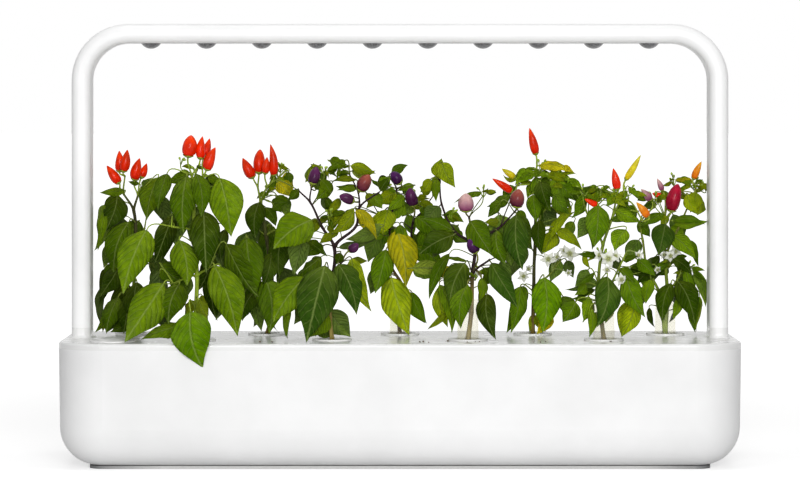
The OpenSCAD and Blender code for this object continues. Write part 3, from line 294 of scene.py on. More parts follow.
# ---------------------------------------------------------------- plants
# Three tables for each plant, in millimetres from the middle of its pod at the lid's top.
# Branches: branch it starts from (0 is the root), where it ends, radius there.
# Leaves: branch, where the blade starts, where its tip is, width, turn about the midrib, tone.
# Peppers: branch, base, tip, diameter, shape (0 pointed, 1 plump), colour.
BRANCHES = [
    [  # plant 1
        (0, -1, 0, 30, 2.3), (1, 0, -2, 70, 2.1), (2, -1, 0, 116, 1.8), (3, -10, -2, 131, 1.2),
        (3, 3, 0, 130, 1.2), (4, -14, 0, 137, 0.9), (4, -9, -3, 148, 0.9), (1, -9, -8, 52, 1.1),
        (2, 10, -10, 100, 1.1),
    ],
    [  # plant 2
        (0, 0, 0, 28, 2.5), (1, 1, -2, 58, 2.4), (2, -2, 0, 98, 2.1), (3, -2, 0, 136, 1.8),
        (4, -4, 0, 150, 1.5), (4, 6, -2, 148, 1.2), (2, -20, -10, 52, 1.1), (3, -22, -8, 104, 1.1),
        (2, 12, -8, 66, 1.1),
    ],
    [  # plant 3
        (0, 5, 0, 22, 2.4), (1, 4, -1, 52, 2.3), (2, -1, 0, 92, 2.1), (3, -6, 0, 122, 1.8),
        (4, -9, -1, 138, 1.1), (4, 0, -1, 138, 1.1), (3, 14, -4, 100, 1.1), (6, 10, 0, 146, 0.8),
        (2, -8, -10, 66, 1.1),
    ],
    [  # plant 4
        (0, -2, 0, 20, 2.3), (1, -1, 0, 46, 2.1), (2, 2, 0, 85, 1.9), (3, -9, 0, 103, 1.5),
        (4, -20, -2, 126, 1.2), (5, -30, -3, 136, 0.9), (3, 22, 0, 104, 1.5), (7, 25, -2, 121, 1.3),
        (8, 43, -3, 135, 0.9), (8, 24, 0, 134, 0.9), (5, -19, 2, 139, 0.8), (2, 8, -6, 70, 1.2),
        (10, 16, 2, 151, 0.8),
    ],
    [  # plant 5
        (0, -2, 0, 24, 2.0), (1, 3, 0, 43, 1.7), (2, -8, 0, 64, 1.4), (3, -10, 0, 96, 1.2),
        (4, -20, 2, 112, 0.9), (2, 11, 0, 62, 1.3), (6, 12, -1, 104, 1.1), (4, -3, 0, 136, 1.0),
        (7, 24, 2, 118, 0.9),
    ],
    [  # plant 6
        (0, 3, 0, 25, 2.5), (1, 4, 0, 60, 2.2), (2, 5, 0, 86, 1.9), (3, -12, -1, 99, 1.4),
        (4, -24, -2, 124, 1.1), (5, -26, -2, 147, 0.9), (3, 1, -2, 112, 1.1), (2, 20, -6, 74, 1.1),
        (3, 30, -4, 104, 1.2), (9, 44, -4, 119, 0.9),
    ],
    [  # plant 7
        (0, 1, 0, 40, 2.2), (1, 2, 0, 76, 1.9), (2, 8, 1, 112, 1.4), (2, 3, 0, 138, 1.3),
        (4, 4, 0, 160, 1.0), (4, -14, -3, 140, 0.9), (3, 22, 4, 126, 1.0), (1, 18, 2, 58, 1.1),
    ],
    [  # plant 8
        (0, -3, 0, 25, 2.3), (1, -5, 0, 52, 2.0), (2, -1, 0, 86, 1.7), (3, 7, -1, 110, 1.3),
        (4, 12, -2, 133, 1.0), (4, 19, -2, 128, 1.0), (1, 8, -3, 54, 1.2), (3, -14, 2, 112, 1.0),
        (7, 20, -6, 80, 1.0), (6, 36, -2, 108, 0.9),
    ],
    [  # plant 9
        (0, 2, 0, 35, 2.3), (1, 0, 0, 70, 2.0), (2, 0, 0, 108, 1.5), (2, 14, -4, 104, 1.2),
        (4, 28, -6, 136, 0.9), (0, -6, 0, 40, 1.8), (6, -17, 0, 62, 1.5), (7, -21, 0, 88, 1.3),
        (8, -24, 2, 104, 1.0), (1, 12, -8, 54, 1.1),
    ]
]

LEAVES = [
    [  # plant 1
        (4, -9, -4, 135, -32, -10, 133, 9, 20, 2), (6, -16, -6, 131, -27, -18, 98, 23, 10, 0),
        (6, -27, -8, 122, -32, -14, 78, 9, 30, 2), (3, -4, -14, 106, -17, -26, 57, 25, -5, 1),
        (5, 22, 2, 147, 12, -8, 107, 23, 0, 2), (9, 18, 14, 132, 30, 26, 98, 18, 0, 1),
        (2, -20, 4, 86, -29, 12, 66, 11, 0, 2), (8, -14, -16, 64, -31, -26, 38, 19, 10, 0),
        (8, -14, -20, 36, -25, -30, 4, 19, 15, 1), (8, -4, -22, 34, -8, -30, 3, 17, -10, 0),
        (1, -24, -6, 18, -30, -9, 3, 8, 30, 3), (8, 4, -24, 50, 10, -32, 8, 21, 0, 0),
        (2, 16, 10, 74, 24, 18, 40, 19, 15, 1), (5, 6, 10, 138, 14, 20, 146, 9, 0, 2),
        (2, -8, 16, 84, -16, 26, 52, 18, 0, 1), (9, 12, -20, 92, 4, -30, 60, 20, 20, 1),
    ],
    [  # plant 2
        (8, -44, -14, 101, -64, -34, 43, 31, 0, 2), (5, -26, -8, 152, -34, -14, 119, 15, 0, 1),
        (5, -8, -10, 150, -10, -24, 98, 25, 5, 1), (4, 1, -14, 152, 6, -22, 112, 17, 0, 1),
        (6, 22, -12, 148, 32, -24, 96, 30, -5, 2), (3, 8, -16, 118, 11, -32, 63, 28, 0, 0),
        (3, -14, -18, 92, -6, -34, 53, 28, 10, 2), (8, -22, -4, 112, -37, -10, 70, 18, -10, 0),
        (9, 18, -22, 69, 39, -34, 6, 30, 0, 2), (9, 22, 4, 66, 18, -2, 18, 20, 10, 0),
        (1, 4, -24, 38, 12, -34, 22, 12, 0, 3), (1, -2, -50, 29, 9, -61, -20, 35, 0, 5),
        (1, -10, -24, 17, -47, -38, 7, 16, 35, 2), (7, -28, -26, 53, -61, -50, 2, 34, 0, 2),
        (7, -14, -22, 52, -23, -36, 18, 26, 5, 1), (7, -34, 6, 62, -44, 16, 30, 18, 0, 0),
        (6, 10, 4, 150, 18, 12, 132, 14, 0, 1), (8, -12, 8, 120, -20, 20, 84, 20, 0, 1),
        (3, 12, 8, 96, 26, 18, 62, 22, 0, 0),
    ],
    [  # plant 3
        (4, -7, -12, 124, -10, -20, 90, 18, 0, 0), (6, 4, -6, 124, 20, -12, 125, 10, 20, 1),
        (6, 6, -8, 122, 13, -16, 115, 8, 0, 1), (9, -19, -16, 91, -10, -28, 36, 27, 0, 1),
        (9, -1, -20, 53, 3, -31, 2, 29, -10, 1), (7, 14, -8, 92, 12, -20, 55, 21, 0, 0),
        (7, 27, -8, 91, 24, -20, 57, 19, 10, 1), (8, 10, -6, 147, 24, -10, 129, 14, 0, 3),
        (8, 20, -4, 152, 18, -8, 138, 9, 0, 1), (3, 4, -14, 76, -4, -24, 44, 17, 0, 0),
        (2, -18, -6, 60, -26, -16, 28, 20, 10, 0), (3, -16, 14, 96, -24, 28, 60, 22, 0, 1),
        (2, 14, 16, 62, 22, 30, 28, 20, 0, 0), (6, 8, 12, 130, 18, 24, 108, 14, 0, 2),
        (1, -6, 14, 34, -14, 26, 6, 17, 0, 0), (9, -12, -20, 40, -22, -30, 14, 17, 20, 0),
    ],
    [  # plant 4
        (13, 12, 2, 164, -3, 0, 157, 9, 20, 2), (13, 18, 8, 154, 40, 6, 153, 13, 30, 3),
        (13, 15, 2, 153, 4, 4, 150, 5, 20, 1), (10, 20, -2, 147, 0, -6, 146, 6, 25, 3),
        (10, 22, -4, 138, 5, -8, 138, 7, 25, 2), (11, -20, 8, 143, -17, 12, 161, 13, 0, 2),
        (11, -15, 4, 137, -5, 8, 156, 11, 0, 1), (5, -9, 6, 131, 1, 10, 114, 10, 0, 0),
        (8, 22, -6, 119, 41, -14, 93, 11, 10, 4), (8, 20, -6, 120, 0, -14, 98, 13, -10, 3),
        (7, 6, 8, 84, 43, 12, 90, 9, 40, 1), (4, -18, -10, 110, -53, -22, 84, 31, 10, 2),
        (4, 0, -8, 97, -11, -12, 89, 8, 0, 3), (2, -6, -18, 69, -22, -42, 2, 37, 0, 6),
        (2, -24, -14, 58, -53, -28, 18, 27, 5, 2), (12, 6, -14, 70, 23, -26, 24, 23, 0, 6),
        (12, 18, -10, 75, 36, -20, 27, 17, -10, 3), (1, -4, 6, 27, 16, 14, 3, 24, 0, 1),
        (1, -4, -8, 25, -20, -14, 4, 18, 0, 2), (2, -40, -6, 32, -42, -10, 2, 8, 20, 2),
        (2, -24, 6, 36, -35, 12, 14, 15, 0, 1), (3, 8, -4, 80, 4, -10, 70, 9, 0, 1),
        (3, -8, 4, 86, -26, 8, 75, 12, 15, 1), (9, 38, -2, 134, 46, -6, 120, 12, 0, 2),
        (9, 44, -2, 136, 52, -4, 148, 10, 0, 1), (6, -31, -4, 138, -40, -8, 128, 9, 0, 1),
    ],
    [  # plant 5
        (8, -8, 5, 151, 7, 3, 159, 10, 20, 1), (8, -12, 2, 147, -22, 0, 140, 10, 0, 0),
        (8, -3, -6, 132, -22, -12, 120, 13, 10, 3), (8, 4, -4, 130, -12, -10, 116, 12, 0, 2),
        (5, -11, -10, 117, -16, -18, 94, 19, 0, 3), (4, -3, -14, 98, 5, -26, 45, 27, 0, 7),
        (7, 0, -10, 103, 3, -14, 79, 13, 0, 2), (3, -13, -12, 80, -23, -24, 40, 22, 0, 1),
        (3, -8, -18, 54, 9, -29, 2, 30, 5, 3), (2, 11, -6, 40, 25, -14, 11, 13, 0, 1),
        (9, 30, 4, 135, 18, 0, 138, 13, 0, 3), (7, 15, -8, 110, 36, -14, 90, 18, 10, 1),
        (9, 18, -2, 118, 42, -6, 107, 11, 30, 1), (6, 13, -10, 82, 40, -18, 58, 20, 20, 1),
        (7, 20, 8, 98, 30, 16, 62, 19, 0, 0), (4, -18, 12, 92, -30, 22, 66, 18, 0, 1),
        (9, 12, 8, 124, 2, 14, 110, 12, 0, 2), (2, -16, 8, 62, -28, 18, 36, 17, 0, 1),
        (8, 2, 8, 136, 14, 14, 128, 10, 0, 1),
    ],
    [  # plant 6
        (6, -27, -2, 148, -24, -6, 166, 14, 0, 3), (6, -24, -6, 162, -12, -12, 140, 15, 0, 3),
        (6, -28, -4, 147, -29, -8, 126, 8, 10, 2), (6, -32, -2, 144, -43, -6, 136, 11, 0, 3),
        (7, 2, -8, 109, 21, -18, 79, 21, 0, 1), (4, -14, -6, 100, -42, -10, 112, 14, 20, 1),
        (4, -14, -10, 96, -44, -20, 80, 22, 10, 0), (2, -3, -16, 71, -17, -28, 34, 24, 0, 0),
        (2, -1, -20, 52, -7, -32, 12, 19, 0, 1), (2, -26, -8, 51, -15, -16, 7, 13, 0, 2),
        (8, 17, -12, 43, 25, -22, 2, 19, 0, 0), (8, 12, -10, 57, 10, -16, 37, 10, 0, 2),
        (8, 21, -12, 71, 45, -26, 33, 19, 10, 6), (8, 14, -4, 66, 34, -10, 54, 12, 20, 1),
        (10, 44, -12, 115, 49, -26, 64, 24, 0, 6), (9, 36, 4, 130, 20, 0, 119, 11, 0, 0),
        (9, 26, -8, 100, 34, -18, 70, 20, 0, 1), (4, -20, 10, 98, -32, 18, 74, 18, 0, 0),
        (2, -14, 8, 42, -28, 14, 14, 10, 20, 2), (8, 30, 6, 72, 42, 14, 44, 17, 0, 1),
        (5, -26, 6, 122, -38, 12, 104, 15, 0, 1), (10, 46, 4, 118, 54, 8, 104, 10, 0, 1),
    ],
    [  # plant 7
        (5, 6, -2, 158, 36, -8, 152, 11, 30, 4), (4, 0, -4, 151, -14, -8, 145, 8, 10, 2),
        (4, 7, -8, 143, 14, -16, 119, 16, 0, 0), (4, 0, -10, 131, 3, -18, 105, 15, 0, 1),
        (7, 18, -2, 147, 40, -8, 125, 16, 10, 1), (7, 20, -6, 131, 34, -12, 113, 13, 0, 1),
        (3, 6, -8, 107, 8, -16, 75, 13, 0, 0), (3, 15, 4, 93, 41, 8, 114, 9, 30, 3),
        (3, 22, -4, 99, 46, -10, 81, 11, 20, 3), (3, 22, 10, 95, 11, 16, 77, 15, 0, 3),
        (1, 10, -16, 54, 8, -30, 4, 27, 0, 5), (1, -12, -10, 45, -21, -22, 3, 16, 0, 1),
        (1, 18, -12, 20, 4, -21, 2, 14, 0, 4), (8, 26, 6, 69, 17, 12, 49, 13, 0, 1),
        (8, 32, 6, 69, 39, 12, 52, 11, 0, 0), (2, -8, 12, 84, -20, 22, 52, 20, 0, 0),
        (6, -16, 4, 138, -28, 8, 124, 13, 0, 1), (7, 12, 14, 120, 24, 24, 98, 18, 0, 0),
        (1, 6, 16, 38, 16, 26, 10, 17, 0, 0), (8, 28, -4, 36, 36, -10, 16, 15, 0, 1),
        (5, 8, 8, 152, 22, 12, 146, 9, 0, 1),
    ],
    [  # plant 8
        (8, -6, -8, 123, -10, -16, 85, 21, 0, 1), (4, 20, -4, 101, 9, -10, 81, 17, 0, 2),
        (5, 2, 0, 131, -10, 2, 139, 7, 20, 1), (8, 0, 4, 135, -26, 6, 135, 11, 30, 0),
        (2, 2, -18, 59, -8, -32, 15, 25, 0, 6), (2, -13, -12, 30, -15, -20, 3, 9, 0, 2),
        (9, 20, -12, 59, 36, -24, 23, 19, 0, 1), (7, 28, -6, 35, 15, -16, 4, 16, 0, 3),
        (2, -26, -4, 35, -38, -10, 17, 19, 0, 1), (2, -8, 4, 46, -28, 8, 34, 7, 30, 0),
        (2, -10, 8, 50, -34, 12, 44, 7, 30, 0), (2, -14, 2, 40, -19, -3, 16, 10, 0, 2),
        (7, 4, -13, 37, 1, -15, 16, 9, 0, 2), (10, 10, 2, 117, 36, -2, 107, 9, 30, 1),
        (3, -6, 6, 53, -26, 8, 45, 11, 20, 1), (8, -14, 6, 112, -24, 12, 92, 15, 0, 1),
        (9, 30, -6, 74, 46, -14, 60, 12, 10, 1), (6, 20, 4, 122, 30, 8, 108, 13, 0, 1),
        (5, 10, -6, 132, 2, -12, 122, 9, 0, 2), (9, 14, -10, 66, 28, -16, 52, 14, 0, 1),
        (3, 6, 10, 76, 16, 16, 62, 12, 0, 0), (2, -14, 8, 64, -26, 14, 48, 13, 0, 1),
    ],
    [  # plant 9
        (4, 6, -16, 107, 35, -24, 105, 9, 35, 1), (5, 19, -14, 131, 28, -20, 113, 12, 0, 3),
        (5, 28, -8, 133, 22, -12, 114, 14, 0, 3), (5, 24, -3, 142, 9, 0, 144, 8, 20, 2),
        (3, -1, -14, 104, -8, -24, 75, 21, 0, 6), (4, 6, -10, 93, 27, -18, 71, 15, 10, 2),
        (10, 4, -18, 49, -4, -28, 13, 17, 0, 0), (10, 10, -16, 51, 24, -28, 13, 21, -10, 0),
        (10, 28, -6, 35, 26, -14, 3, 12, 20, 1), (10, 18, -10, 65, 34, -20, 28, 9, 10, 1),
        (2, 6, -10, 71, 24, -16, 57, 11, 20, 0), (7, -22, -4, 67, -16, -10, 37, 13, 0, 1),
        (3, -2, -8, 113, -26, -14, 101, 10, 20, 1), (9, -16, 4, 131, -26, 4, 125, 9, 0, 0),
        (9, -8, 6, 123, -20, 8, 117, 9, 0, 1), (2, -8, 14, 72, -20, 22, 44, 18, 0, 0),
        (10, 14, 10, 60, 26, 20, 30, 18, 0, 1), (3, 8, 10, 112, 20, 18, 88, 16, 0, 1),
        (6, -20, 6, 44, -30, 14, 18, 15, 0, 0), (8, -24, 8, 88, -36, 14, 66, 15, 0, 1),
        (2, 12, -14, 34, 6, -20, 16, 9, 0, 2),
    ]
]

PEPPERS = [
    [  # plant 1
        (6, -15, 0, 142, -26, -2, 158, 9.5, 0, 0), (7, -14, -4, 153, -14, -6, 172, 9, 0, 0),
        (7, -10, -8, 153, -6, -10, 173, 10, 0, 0), (5, 0, -2, 145, 5, -4, 165, 10.5, 0, 0),
        (5, 6, 2, 147, 11, 4, 160, 7.5, 0, 0),
    ],
    [  # plant 2
        (5, -7, -4, 168, -4, -6, 187, 13.5, 1, 0), (5, 4, -2, 166, 6, -2, 186, 9, 0, 0),
        (6, 7, 6, 168, 12, 8, 184, 8, 0, 0), (6, 10, -6, 156, 18, -8, 176, 10.5, 0, 0),
    ],
    [  # plant 3
        (5, -14, 0, 147, -23, -2, 165, 10.5, 0, 0), (5, -8, 4, 151, -7, 6, 173, 11, 1, 0),
        (6, -2, -4, 151, 0, -6, 166, 8, 0, 0), (6, 6, -2, 149, 3, -4, 178, 8.5, 0, 0),
    ],
    [  # plant 4
        (11, -18, -4, 143, -14, -4, 158, 10.5, 1, 2), (10, 19, -6, 127, 7, -10, 132, 9.5, 1, 2),
        (10, 26, -2, 137, 34, -6, 151, 12.5, 1, 3), (12, 16, -4, 82, 24, -8, 88, 8.5, 1, 2),
    ],
    [  # plant 5
        (8, 0, -9, 142, -8, -11, 152, 10.5, 1, 1), (7, 13, -6, 121, 9, -10, 137, 11.5, 1, 2),
    ],
    [  # plant 6
        (7, -2, -4, 118, -2, -6, 134, 14.5, 1, 4), (2, 7, -8, 81, 1, -12, 93, 11, 1, 1),
        (10, 44, -8, 122, 46, -10, 138, 13.5, 1, 3),
    ],
    [  # plant 7
        (5, 3, 0, 169, -3, -2, 193, 8.5, 0, 0), (6, -20, -6, 134, -38, -10, 146, 7.5, 0, 0),
        (6, -17, -2, 147, -29, -4, 155, 6.5, 0, 6),
    ],
    [  # plant 8
        (5, 12, -6, 138, 8, -8, 157, 8, 0, 0), (6, 20, -4, 147, 33, -8, 169, 6.5, 0, 6),
        (8, -6, -4, 123, -18, -8, 129, 6, 0, 0), (10, 40, -4, 113, 29, -8, 126, 7.5, 0, 5),
    ],
    [  # plant 9
        (3, 5, -8, 116, 11, -10, 141, 13.5, 1, 7), (9, -14, -2, 126, -23, -6, 136, 7.5, 0, 4),
        (3, -3, -4, 135, -8, -6, 146, 5.5, 0, 4), (3, -3, 4, 129, -12, 4, 132, 6, 0, 0),
        (5, 26, -6, 146, 33, -10, 162, 7, 0, 5),
    ]
]


# ---------------------------------------------------------------- smaller leaves and sprigs
# They were read on three zoomed crops of the photo. Each crop: its left and top edge in
# photo pixels, and its zoom.
LEFT, MIDDLE, RIGHT = (85, 115, 6.147), (265, 140, 7.465), (440, 115, 5.6)
FOCAL_PIXELS = 3423
PHOTO_MIDDLE = 400
HORIZON_ROW = 107.7
EYE_OVER_LID = 212
LOWEST_TIP = 2
# Groups of leaves: plant, crop, and for each leaf the foot, the tip and the width in pixels of
# that crop, then the tint, and the depth behind the pod's middle in mm. Tints and depths were set
# one by one, and so were the foot and width of the leaf of plant 7 that starts at (620, 1103).
LEAF_READINGS = [
    (1, LEFT, [
        (115, 555, 62, 840, 125, 2, 12), (150, 790, 108, 940, 90, 2, 8), (112, 950, 80, 1180, 80, 0, 6),
        (95, 1060, 100, 1300, 70, 0, 10), (255, 1030, 135, 1335, 165, 0, 1),
        (290, 1250, 165, 1335, 90, 1, -4), (345, 1290, 255, 1355, 60, 1, 6),
        (205, 900, 150, 1080, 140, 1, 5), (330, 425, 265, 408, 40, 2, -2), (330, 650, 235, 800, 130, 1, 6),
        (180, 1130, 62, 1365, 70, 2, -6), (235, 640, 150, 900, 140, 0, 9), (330, 1130, 300, 1340, 110, 0, 9),
    ]),
    (2, LEFT, [
        (830, 470, 775, 580, 60, 1, 3), (855, 700, 835, 900, 95, 0, 6), (875, 790, 1060, 1120, 190, 1, -7),
        (835, 950, 810, 1270, 130, 0, 8), (800, 880, 700, 1090, 120, 0, 4), (470, 920, 600, 1030, 130, 1, 6),
        (680, 1150, 610, 1235, 90, 3, 4), (720, 1110, 765, 1230, 80, 3, 5), (520, 620, 440, 920, 130, 0, 7),
        (640, 352, 495, 410, 90, 2, 3), (755, 370, 850, 410, 70, 2, -3), (560, 900, 590, 1200, 150, 1, 7),
        (640, 1000, 520, 1260, 120, 1, 9), (700, 560, 640, 780, 120, 1, 9), (420, 1100, 520, 1330, 120, 0, 8),
    ]),
    (3, LEFT, [
        (1080, 640, 1100, 860, 150, 0, 8), (1010, 1080, 1075, 1350, 140, 1, 8),
        (1060, 960, 985, 1240, 120, 0, 5),
    ]),
    (3, MIDDLE, [
        (160, 240, 205, 430, 110, 4, -3), (100, 185, 185, 212, 40, 3, 2), (90, 420, 180, 470, 70, 2, -2),
        (100, 440, 120, 522, 60, 2, 4), (40, 640, 60, 1000, 150, 0, 6), (30, 1030, 60, 1430, 150, 1, 4),
        (0, 500, 90, 640, 110, 1, 5),
    ]),
    (3, LEFT, [(1110, 760, 1060, 1040, 130, 1, 10)]),
    (3, MIDDLE, [(70, 260, 20, 400, 60, 2, 4)]),
    (4, MIDDLE, [
        (290, 720, 215, 1010, 190, 1, 9), (640, 190, 825, 250, 95, 3, -2), (620, 235, 525, 250, 35, 2, 3),
        (670, 300, 500, 310, 60, 3, 2), (690, 365, 530, 350, 70, 2, 4), (400, 190, 292, 315, 105, 3, 6),
        (500, 320, 380, 450, 120, 2, 3), (420, 300, 490, 405, 90, 2, -3), (450, 440, 515, 555, 70, 1, 5),
        (400, 600, 312, 715, 100, 3, 5), (550, 680, 415, 775, 60, 3, -3), (470, 640, 540, 720, 50, 3, 0),
        (600, 540, 500, 640, 100, 3, 4), (320, 760, 470, 870, 90, 1, 5), (420, 870, 205, 1020, 160, 1, 4),
        (400, 1280, 630, 1470, 170, 2, 9), (390, 1400, 500, 1495, 110, 2, 12),
        (180, 1260, 155, 1490, 50, 3, 2), (870, 650, 595, 750, 120, 2, 8), (640, 900, 760, 900, 70, 3, 2),
        (560, 440, 450, 560, 80, 3, 6), (380, 1000, 250, 1300, 170, 1, 8), (300, 1200, 380, 1470, 120, 1, 10),
    ]),
    (5, MIDDLE, [
        (850, 320, 950, 280, 80, 2, -2), (1110, 342, 985, 382, 60, 2, 5), (760, 400, 850, 505, 90, 3, 3),
        (850, 420, 755, 512, 100, 3, 5), (880, 400, 960, 485, 90, 3, -3), (680, 520, 840, 725, 105, 4, -8),
        (610, 560, 590, 640, 60, 3, 0), (850, 540, 890, 710, 130, 3, -5), (1040, 480, 900, 595, 150, 2, 4),
        (1005, 640, 1030, 830, 120, 1, -12), (930, 1020, 1080, 1440, 220, 3, -8),
        (1090, 1140, 1200, 1360, 125, 1, -6), (1150, 470, 1280, 520, 70, 3, -4),
        (1140, 560, 1290, 600, 60, 2, 0), (1100, 440, 1230, 430, 45, 3, 3), (1200, 620, 1210, 980, 130, 1, 2),
        (950, 640, 880, 800, 120, 1, 5), (1060, 560, 1110, 720, 110, 1, 6), (830, 600, 760, 700, 80, 2, 6),
        (1100, 700, 1160, 900, 120, 0, 6),
    ]),
    (6, MIDDLE, [(1240, 290, 1160, 390, 90, 3, -3), (1290, 265, 1250, 430, 85, 2, 4)]),
    (6, RIGHT, [
        (230, 430, 78, 490, 34, 2, 0), (20, 560, 130, 600, 80, 2, 2), (330, 560, 400, 850, 210, 2, 10),
        (260, 620, 300, 800, 160, 0, 9), (150, 820, 8, 800, 30, 2, -4), (50, 850, 2, 910, 60, 4, 4),
        (300, 860, 220, 960, 80, 2, 4), (240, 960, 220, 1065, 30, 2, -2),
    ]),
    (6, MIDDLE, [
        (1110, 960, 1370, 965, 120, 3, 8), (1380, 850, 1222, 1190, 105, 1, -4),
        (1300, 1090, 1378, 1400, 120, 3, 4), (1350, 1280, 1208, 1405, 55, 3, -6),
    ]),
    (6, RIGHT, [
        (390, 450, 260, 510, 70, 1, 4), (100, 620, 20, 700, 100, 1, 8), (330, 590, 250, 600, 60, 3, -2),
        (430, 560, 520, 760, 150, 0, 6), (60, 640, 150, 720, 90, 1, 4),
    ]),
    (7, RIGHT, [
        (530, 320, 415, 385, 85, 2, -2), (480, 300, 415, 350, 55, 2, 3), (530, 350, 600, 500, 110, 1, -4),
        (620, 310, 770, 405, 80, 2, 2), (640, 360, 660, 480, 100, 2, -3), (690, 400, 775, 450, 70, 2, 0),
        (690, 280, 750, 325, 40, 4, 2), (640, 520, 720, 560, 80, 3, -2), (750, 600, 680, 690, 90, 2, 4),
        (650, 660, 570, 780, 90, 3, 5), (480, 1000, 368, 1225, 105, 1, -2),
        (620, 1103, 565, 1262, 120, 4, -5),
        (510, 1120, 500, 1220, 35, 3, 2), (580, 360, 640, 470, 80, 1, 5), (560, 420, 620, 540, 90, 1, 4),
        (520, 480, 580, 600, 90, 0, 6), (600, 330, 700, 370, 60, 3, -4), (470, 960, 430, 1130, 110, 1, 6),
        (660, 420, 740, 520, 80, 1, 5), (540, 380, 490, 470, 80, 2, 5),
    ]),
    (8, RIGHT, [
        (860, 420, 762, 412, 32, 1, 0), (820, 440, 745, 585, 100, 1, 3), (900, 440, 860, 500, 60, 2, -3),
        (960, 440, 1040, 510, 60, 3, -2), (1000, 430, 930, 505, 60, 3, 2), (830, 600, 852, 760, 60, 2, 2),
        (1110, 540, 930, 590, 95, 1, 3), (985, 530, 1120, 600, 85, 2, -4), (880, 790, 765, 780, 40, 1, -2),
        (800, 780, 838, 862, 40, 3, -2), (1020, 810, 1110, 788, 40, 1, -4), (1060, 850, 1190, 830, 50, 0, 0),
        (1040, 870, 1180, 900, 50, 0, 3), (820, 950, 750, 1000, 70, 2, 2), (860, 880, 760, 950, 40, 1, -4),
        (830, 1040, 740, 1030, 40, 1, 3), (860, 1060, 808, 1160, 60, 3, 4), (880, 1100, 840, 1235, 60, 3, -4),
        (960, 1040, 925, 1170, 50, 3, 4), (1180, 920, 1150, 1060, 80, 2, 5), (1200, 870, 1110, 950, 90, 0, 6),
        (1060, 400, 1120, 460, 50, 2, 2), (880, 400, 800, 440, 50, 2, 5), (760, 430, 800, 520, 70, 0, 6),
        (900, 520, 830, 640, 110, 1, 7), (1050, 470, 980, 540, 70, 2, 6),
    ]),
    (9, RIGHT, [
        (1110, 600, 1180, 685, 80, 1, 4), (1400, 700, 1445, 850, 60, 1, 3), (1310, 600, 1500, 592, 85, 2, -6),
        (1420, 380, 1312, 368, 40, 4, 0), (1455, 455, 1440, 560, 120, 3, -6),
        (1450, 380, 1500, 420, 45, 3, -3), (1170, 462, 1082, 448, 35, 2, 2),
        (1280, 570, 1230, 612, 60, 3, -4),
        (1300, 800, 1400, 830, 50, 1, -4), (1330, 850, 1400, 900, 50, 1, 2), (1280, 860, 1225, 900, 50, 0, 3),
        (1430, 870, 1490, 1080, 70, 2, 8), (1460, 1020, 1425, 1210, 80, 3, 8),
        (1310, 1010, 1345, 1072, 40, 1, 2), (1170, 1080, 1200, 1190, 40, 0, 3),
        (1320, 1100, 1280, 1162, 30, 0, -2), (1240, 430, 1330, 480, 50, 2, 5),
        (1330, 440, 1400, 470, 45, 3, 4), (1230, 790, 1180, 850, 60, 0, 6), (1350, 620, 1290, 700, 90, 2, 6),
    ]),
]
# Leaves set one by one in gaps that were left, in mm from the pod's middle at the lid's top:
# foot x and z, tip x and z, width, tint, depth
LEAVES_IN_GAPS = {
    1: [(18, 62, 26, 30, 15, 1, 9)],
    4: [(-2, 164, 14, 160, 11, 2, 1), (2, 118, -2, 98, 13, 2, 7), (-50, 144, -38, 131, 15, 4, 4),
        (8, 66, 14, 50, 12, 2, -6)],
    5: [(12, 62, 36, 52, 17, 2, 8), (-32, 92, -8, 98, 14, 2, 6)],
    6: [(30, 127, 18, 112, 13, 1, -4)],
    7: [(4, 20, 12, 3, 10, 3, -3), (36, 120, 12, 84, 9, 3, -6), (34, 146, 47, 133, 9, 2, -3)],
    8: [(27, 36, 16, 3, 17, 3, 6)],
}
# Sprigs of buds and young leaves: plant, crop, place in the crop's pixels, depth in mm, number of
# leaves, reach in the crop's pixels
SPRIG_READINGS = [
    (2, LEFT, 590, 285, -4, 0, 40), (2, LEFT, 680, 330, 0, 3, 60), (3, LEFT, 1120, 470, 2, 3, 60),
    (3, MIDDLE, 110, 215, 2, 4, 60), (4, MIDDLE, 440, 230, 2, 6, 80), (4, MIDDLE, 480, 560, 0, 5, 80),
    (4, MIDDLE, 560, 200, 3, 3, 60), (5, MIDDLE, 900, 360, 0, 5, 90), (5, MIDDLE, 960, 430, 0, 5, 90),
    (5, MIDDLE, 1130, 420, 0, 4, 80), (5, MIDDLE, 1180, 520, 2, 5, 90), (6, RIGHT, 60, 560, 0, 3, 60),
    (6, RIGHT, 240, 440, 0, 4, 60), (6, RIGHT, 200, 900, 2, 4, 60), (7, RIGHT, 440, 370, 0, 4, 60),
    (7, RIGHT, 560, 300, 0, 5, 70), (7, RIGHT, 640, 350, 0, 6, 80), (7, RIGHT, 690, 380, 0, 5, 70),
    (8, RIGHT, 800, 430, 0, 6, 70), (8, RIGHT, 890, 430, -2, 6, 70), (8, RIGHT, 970, 450, 0, 6, 70),
    (8, RIGHT, 1050, 430, 0, 4, 60), (8, RIGHT, 900, 790, 0, 4, 60), (9, RIGHT, 1200, 470, 0, 5, 60),
    (9, RIGHT, 1310, 370, 0, 4, 60), (9, RIGHT, 1420, 390, 0, 6, 60), (9, RIGHT, 1490, 400, 0, 3, 50),
    (9, RIGHT, 1300, 810, 0, 6, 80), (9, RIGHT, 1390, 860, 0, 5, 70),
]


def pixels_per_mm(n):
    """Photo pixels in a millimetre at pod n's distance from the camera."""
    return round(FOCAL_PIXELS / ((CAMERA_BACK + pod_place(n).y) / MM), 4)


def read_place(n, crop, right, down):
    """Whole millimetres from pod n's middle at the lid's top to a point read on a crop."""
    left, top, zoom = crop
    scale = pixels_per_mm(n)
    pod = PHOTO_MIDDLE + (n - 5) * POD_STEP * scale
    row = HORIZON_ROW + scale * EYE_OVER_LID
    return round((left + right / zoom - pod) / scale), round((row - (top + down / zoom)) / scale)


def read_length(n, crop, pixels):
    return round(pixels / crop[2] / pixels_per_mm(n))


